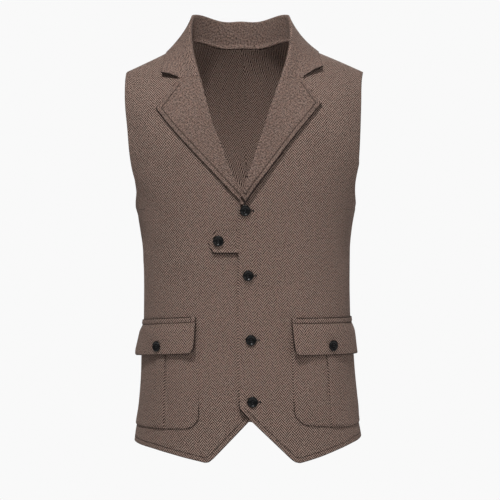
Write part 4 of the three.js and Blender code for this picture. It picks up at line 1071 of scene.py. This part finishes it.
def wool(name, dark, light, contrast, pitch, column, flecks, fleck_scale):
    """Wool cloth: ribs whose slant turns and breaks by half a rib from column to column, flecks, stitches
    and painted shade.

    The pitch is the rise from one light rib to the next and the column the width of one slanting column,
    both in metres; flecks is how far the flecks move the ribs' wave, which itself goes from -1 to 1.
    """
    g = Graph(name)
    place = g.add("UVMap", uv_map="cloth")
    split = g.add("SeparateXYZ", {0: place})
    u = g.math("MULTIPLY_ADD", g.noise(place, 60.0), 0.0011, split)
    v = g.math("MULTIPLY_ADD", g.noise(place, 38.0, 1.0), 0.0016, split.node.outputs[1])
    zigzag = g.math("PINGPONG", u, column)
    falling = g.math("GREATER_THAN", g.math("FRACT", g.math("DIVIDE", u, 2 * column)), 0.5)
    phase = g.math("DIVIDE", g.math("MULTIPLY_ADD", zigzag, SLANT, v), pitch)
    phase = g.math("MULTIPLY_ADD", falling, 0.5, phase)
    wave = g.math("SINE", g.math("MULTIPLY", phase, 2 * math.pi))
    yarn = g.noise(place, 900.0, 2.0, 0.7)
    fleck = g.noise(place, fleck_scale, 3.0, 0.65)
    rib = g.span(g.spread(fleck, flecks, wave), -0.9, 0.9)
    clear = g.math("MULTIPLY", g.span(g.noise(place, 24.0, 1.0), 0.32, 0.62, 0.62, 1.25), contrast)
    share = g.spread(yarn, 0.5, g.spread(rib, clear, 0.5))
    share = g.spread(g.noise(place, 14.0, 3.0), 0.22, share)
    pale = g.blend(g.span(g.noise(place, 120.0), 0.36, 0.64), linear(light[0]), linear(light[1]))
    colour = g.blend(g.span(share, 0.0, 1.0), linear(dark), pale)

    seam, run = (g.add("Attribute", out=2, attribute_name=key) for key in ("seam", "run"))
    groove = g.span(g.math("ABSOLUTE", seam), 0.0, 0.0015, 1.0, 0.0)
    stitch = g.span(g.math("SINE", g.math("MULTIPLY", run, 2 * math.pi / STITCH_LENGTH)), -0.5, 0.4)
    stitch_shade_and_depth = g.math("MULTIPLY", groove, g.math("SUBTRACT", 1.0, g.math("MULTIPLY", stitch, 0.45)))
    # the stitch line is darkened by painted shade of its sunk groove; the same mask sinks it in the bump
    # below
    colour = g.blend(g.math("MULTIPLY", stitch_shade_and_depth, 0.85), colour, linear("1c1411"))
    # free edges are darkened by painted shade, where an edge stands off the cloth beneath it
    colour = g.blend(g.span(seam, -0.0078, -0.0064, 0.9, 0.0), colour, linear("100a08"))
    band = g.math("MULTIPLY", g.span(seam, -0.0068, -0.0022), g.span(seam, -0.0012, -0.0004, 1.0, 0.0))
    height = g.math("MULTIPLY_ADD", stitch_shade_and_depth, -1.6, g.math("MULTIPLY", band, 0.6))
    for value, rise in ((rib, 0.34 * contrast), (yarn, 0.30), (fleck, 0.22)):
        height = g.math("MULTIPLY_ADD", value, rise, height)
    bump = g.add("Bump", {"Height": height, "Distance": 0.0007, "Strength": 0.8})
    g.set(
        Base_Color=colour,
        Roughness=0.92,
        Normal=bump,
        Sheen_Weight=0.15,
        Sheen_Roughness=0.45,
        Sheen_Tint=linear("a8948a"),
        Specular_IOR_Level=0.12,
    )
    return g.material


def horn():
    """Black polished button: a little uneven under its gloss."""
    g = Graph("black_polished_button")
    cloud = g.noise(g.add("TexCoord", out=3), 300.0, 3.0)
    g.set(
        Base_Color=g.blend(cloud, linear("010101"), linear("050506")),
        Roughness=g.span(cloud, 0.3, 0.7, 0.2, 0.28),
        Specular_IOR_Level=0.3,
    )
    return g.material


def thread(name, dark, light):
    """Twisted sewing thread."""
    g = Graph(name)
    twist = g.noise(g.add("TexCoord", out=3), 1800.0)
    bump = g.add("Bump", {"Height": twist, "Distance": 0.0002, "Strength": 0.6})
    g.set(Base_Color=g.blend(twist, linear(dark), linear(light)), Roughness=0.8, Normal=bump)
    return g.material


def paper(name, code):
    """Plain pale surface of the floor, faintly mottled."""
    g = Graph(name)
    cloud = g.noise(g.add("TexCoord", out=3), 2.0)
    g.set(Base_Color=g.blend(cloud, linear(code), linear("fdfdfd")), Roughness=0.9)
    return g.material


TWEED = wool("brown_herringbone_tweed", "180f0b", ("9a8176", "988378"), 1.32, 0.0045, 0.0077, 3.2, 330.0)
FACING = wool("brown_wool_facing", "1b120e", ("967d72", "937e74"), 1.25, 0.0034, 0.0052, 5.4, 360.0)
HORN = horn()
BLACK_THREAD = thread("black_button_thread", "08080a", "25252b")
BROWN_THREAD = thread("brown_buttonhole_thread", "070504", "17100e")


# Buttons and buttonholes

def lathe_button(name, place, lift, side):
    """Round dished button with four holes: a ring of profile points turned about its axis."""
    profile = (np.array(BUTTON_PROFILE) - [0, BUTTON_FOOT]) * [BUTTON_SIZE, 1]
    sides, rings = 48, profile[1:-1]
    turn = np.radians(np.arange(sides) * 360 / sides)
    x, y = rings[:, None, 0] * np.cos(turn), rings[:, None, 0] * np.sin(turn)
    z = np.broadcast_to(rings[:, None, 1], x.shape).copy()
    for hole_x in (-HOLE_OFFSET, HOLE_OFFSET):
        for hole_y in (-HOLE_OFFSET, HOLE_OFFSET):
            pit = np.hypot(x - hole_x, y - hole_y)
            z[:HOLED_RINGS] -= 1.1 * (1 - smooth(0.35, 0.8, pit))[:HOLED_RINGS]
    points = np.concatenate((np.stack([x, y, z], -1).reshape(-1, 3), [[0, 0, profile[0, 1]], [0, 0, 0.0]]))
    index = np.arange(len(rings) * sides).reshape(len(rings), sides)
    follow = np.roll(index, -1, 1)
    top, bottom = len(points) - 2, len(points) - 1
    faces = ring_quads(index)
    faces += [(top, int(a), int(b)) for a, b in zip(index[0], follow[0])]
    faces += [(bottom, int(b), int(a)) for a, b in zip(index[-1], follow[-1])]
    return place_piece(name, points, faces, place, lift, side, HORN)


def place_piece(name, points, faces, place, lift, side, material):
    """Small piece made flat, set on the cloth at a mark and turned to face outwards there."""
    angle, level = mark_at(place) * [side, 1]
    centre = hang(lifted(np.array(angle), np.array(level), lift))
    normal = outward(np.array(angle), np.array(level))
    right = unit(np.cross([0, 0, 1.0], normal))
    right = -right if right[0] < 0 else right
    up = np.cross(normal, right)
    world = centre + points[:, :1] * right + points[:, 1:2] * up + points[:, 2:3] * normal
    obj = mesh_object(name, (world * MM).tolist(), faces, material)
    obj.data.polygons.foreach_set("use_smooth", np.ones(len(obj.data.polygons), bool))
    obj.data.update()
    return obj


def strands(name, paths, radius, place, lift, side, material, sides=6):
    """Thread strands: round tubes with closed ends along short paths of points."""
    points, faces = [], []
    turn = np.arange(sides) * 2 * math.pi / sides
    for path in paths:
        path = np.array(path, float)
        along = unit(np.gradient(path, axis=0))
        first = unit(np.cross(along, [0.123, 0.31, 0.94]))
        second = np.cross(along, first)
        size = np.full(len(path), radius)
        size[0] = size[-1] = radius * 0.35
        spoke = first[:, None] * np.cos(turn)[:, None] + second[:, None] * np.sin(turn)[:, None]
        start = sum(len(p) for p in points)
        points.append((path[:, None] + size[:, None, None] * spoke).reshape(-1, 3))
        for i in range(len(path) - 1):
            for k in range(sides):
                a, b = start + i * sides + k, start + i * sides + (k + 1) % sides
                faces.append((a, b, b + sides, a + sides))
        faces.append(tuple(start + k for k in reversed(range(sides))))
        faces.append(tuple(start + (len(path) - 1) * sides + k for k in range(sides)))
    return place_piece(name, np.concatenate(points), faces, place, lift, side, material)


def button(name, node, place, lift, side):
    """Button with its thread, for a CAD button."""
    disc = lathe_button(name, place, lift, side)
    arcs = []
    for y in (-HOLE_OFFSET, HOLE_OFFSET):
        for k in (-0.3, 0.0, 0.3):
            xs = np.linspace(-HOLE_OFFSET, HOLE_OFFSET, 9)
            arcs.append([(x, y + k, 2.0 + 0.75 * math.cos(x / HOLE_OFFSET * 1.35)) for x in xs])
    stitches = strands(name + "_thread", arcs, 0.2, place, lift, side, BLACK_THREAD)
    finish_piece(disc, "horn", node)
    finish_piece(stitches, "horn")


def buttonhole(name, place, lift, side, upright):
    """Worked buttonhole: close stitches over both lips of a slit that ends in a bar."""
    paths = []
    for t in np.arange(SLIT_START, SLIT_END, 0.62):
        for s in (-1, 1):
            paths.append([(t, 0.25 * s, 0.1), (t, 0.875 * s, 0.42), (t, 1.5 * s, 0.1)])
    for t in np.arange(SLIT_END, SLIT_END + 2.0, 0.5):
        paths.append([(t, -1.9, 0.1), (t, -0.9, 0.6), (t, 0.9, 0.6), (t, 1.9, 0.1)])
    if upright:
        paths = [[(-y, -x, z) for x, y, z in path] for path in paths]
    finish_piece(strands(name, paths, 0.3, place, lift, side, BROWN_THREAD, sides=5), "tweed")


def finish_piece(obj, slot, *nodes):
    """Puts a piece in the frame: what it replaces and its body; its slot is not used."""
    if nodes:
        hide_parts(*nodes)
    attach(obj, "root")


def dress(obj, slot, node, material):
    """Finishes one cloth piece with its material; the cut that it shows is not used."""
    obj.data.materials.append(material)
    finish_piece(obj, slot, node)


for front in (WEARERS_LEFT, WEARERS_RIGHT):
    name = front["name"]
    side = front["side"]
    dress(front_panel(front), "tweed", f"front_{name}", TWEED)
    dress(back_panel(front), "tweed", f"back_{name}", TWEED)
    dress(lapel(front), "tweed_smooth", f"lapel_{name}", FACING)
    dress(pocket(front), "tweed", f"pocket_{name}", TWEED)
    dress(flap(front), "tweed", f"flap_{name}", TWEED)
    place = (front["pocket"][1], front["flap"]["button"])
    lift = float(flap_lift(front, button_below(front), float(mark_at(place)[0])))
    button(f"button_flap_{name}", f"flap_button_{name}", place, lift + 0.1, side)
    buttonhole(f"buttonhole_flap_{name}", place, lift - 0.5, side, True)

dress(collar(), "tweed_smooth", "collar", FACING)
dress(chest_tab(), "tweed", "chest_tab", TWEED)

for index, place in enumerate(FRONT_BUTTONS, 1):
    angle, level = mark_at(place)
    lift = float(overlap_lift(1, np.array(angle), np.array(level)))
    button(f"button_front_{index}", f"front_button_{index}", place, lift + SEAM_GAP + 0.5, 1)
    buttonhole(f"buttonhole_front_{index}", place, lift, 1, False)
button("button_tab", "tab_button", TAB_BUTTON, SEAM_GAP + TURNED_CLOTH + 1.0, -1)


# Stage, light and camera

STUDIO_PALE = (0.947, 0.947, 0.947, 1.0)


def floor():
    """Round pale floor well below the garment."""
    sides, radius, level = 96, 2.0, -1.12
    turn = np.radians(np.arange(sides) * 360 / sides)
    points = [(radius * math.cos(t), radius * math.sin(t), level) for t in turn]
    mesh_object("floor", points, [tuple(range(sides))], paper("pale_studio_floor", "f4f4f4"))


def backdrop():
    """Large pale ball round the set: the camera sees it, and it neither lights nor shades the garment."""
    g = Graph("pale_studio_backdrop")
    g.set(
        Base_Color=(0.0, 0.0, 0.0, 1.0),
        Emission_Color=STUDIO_PALE,
        Emission_Strength=1.0,
        Specular_IOR_Level=0.0,
    )
    turn, rise = np.radians(np.arange(0, 360, 15)), np.radians(np.arange(-75, 76, 15))
    height = np.broadcast_to(np.sin(rise)[:, None], (len(rise), len(turn)))
    across, deep = np.outer(np.cos(rise), np.cos(turn)), np.outer(np.cos(rise), np.sin(turn))
    points = np.stack([across, deep, height], -1).reshape(-1, 3) * 14.0
    index = np.arange(len(points)).reshape(-1, len(turn))
    faces = ring_quads(index) + [index[0].tolist(), index[-1][::-1].tolist()]
    obj = mesh_object("backdrop", points.tolist(), faces, g.material)
    obj.visible_diffuse = obj.visible_glossy = obj.visible_transmission = obj.visible_shadow = False


def softbox(name, place, target, size, power):
    """Square soft light that points at a target."""
    data = bpy.data.lights.new(name, "AREA")
    data.shape = "SQUARE"
    data.size = size
    data.energy = power
    obj = add_object(name, data)
    obj.location = place
    direction = np.array(target) - np.array(place)
    horizontal = math.hypot(direction[0], direction[1])
    obj.rotation_euler = (math.atan2(horizontal, -direction[2]), 0, math.atan2(-direction[0], direction[1]))


floor()
backdrop()
scene = bpy.context.scene
world = bpy.data.worlds.new("studio")
world.use_nodes = True
background = world.node_tree.nodes["Background"]
background.inputs["Color"].default_value = STUDIO_PALE
background.inputs["Strength"].default_value = 0.28
scene.world = world
softbox("key", (-0.3, -1.6, 1.7), (0, 0, -0.3), 0.32, 57)
softbox("fill", (1.8, -2.1, 0.5), (0, 0, -0.35), 1.6, 14)
softbox("back", (0.5, 2.6, 1.2), (0, 0, -0.3), 1.4, 34)
scene.view_settings.view_transform = "Standard"
scene.view_settings.look = "None"
scene.view_settings.exposure = 0.0
scene.view_settings.gamma = 1.0

camera_data = bpy.data.cameras.new("camera")
camera_data.sensor_width = 36.0
camera_data.lens = 130.9
camera = add_object("camera", camera_data)
camera.location = (0.0066, -3.0, -0.351)
camera.rotation_euler = (math.radians(90), 0, 0)
scene.camera = camera
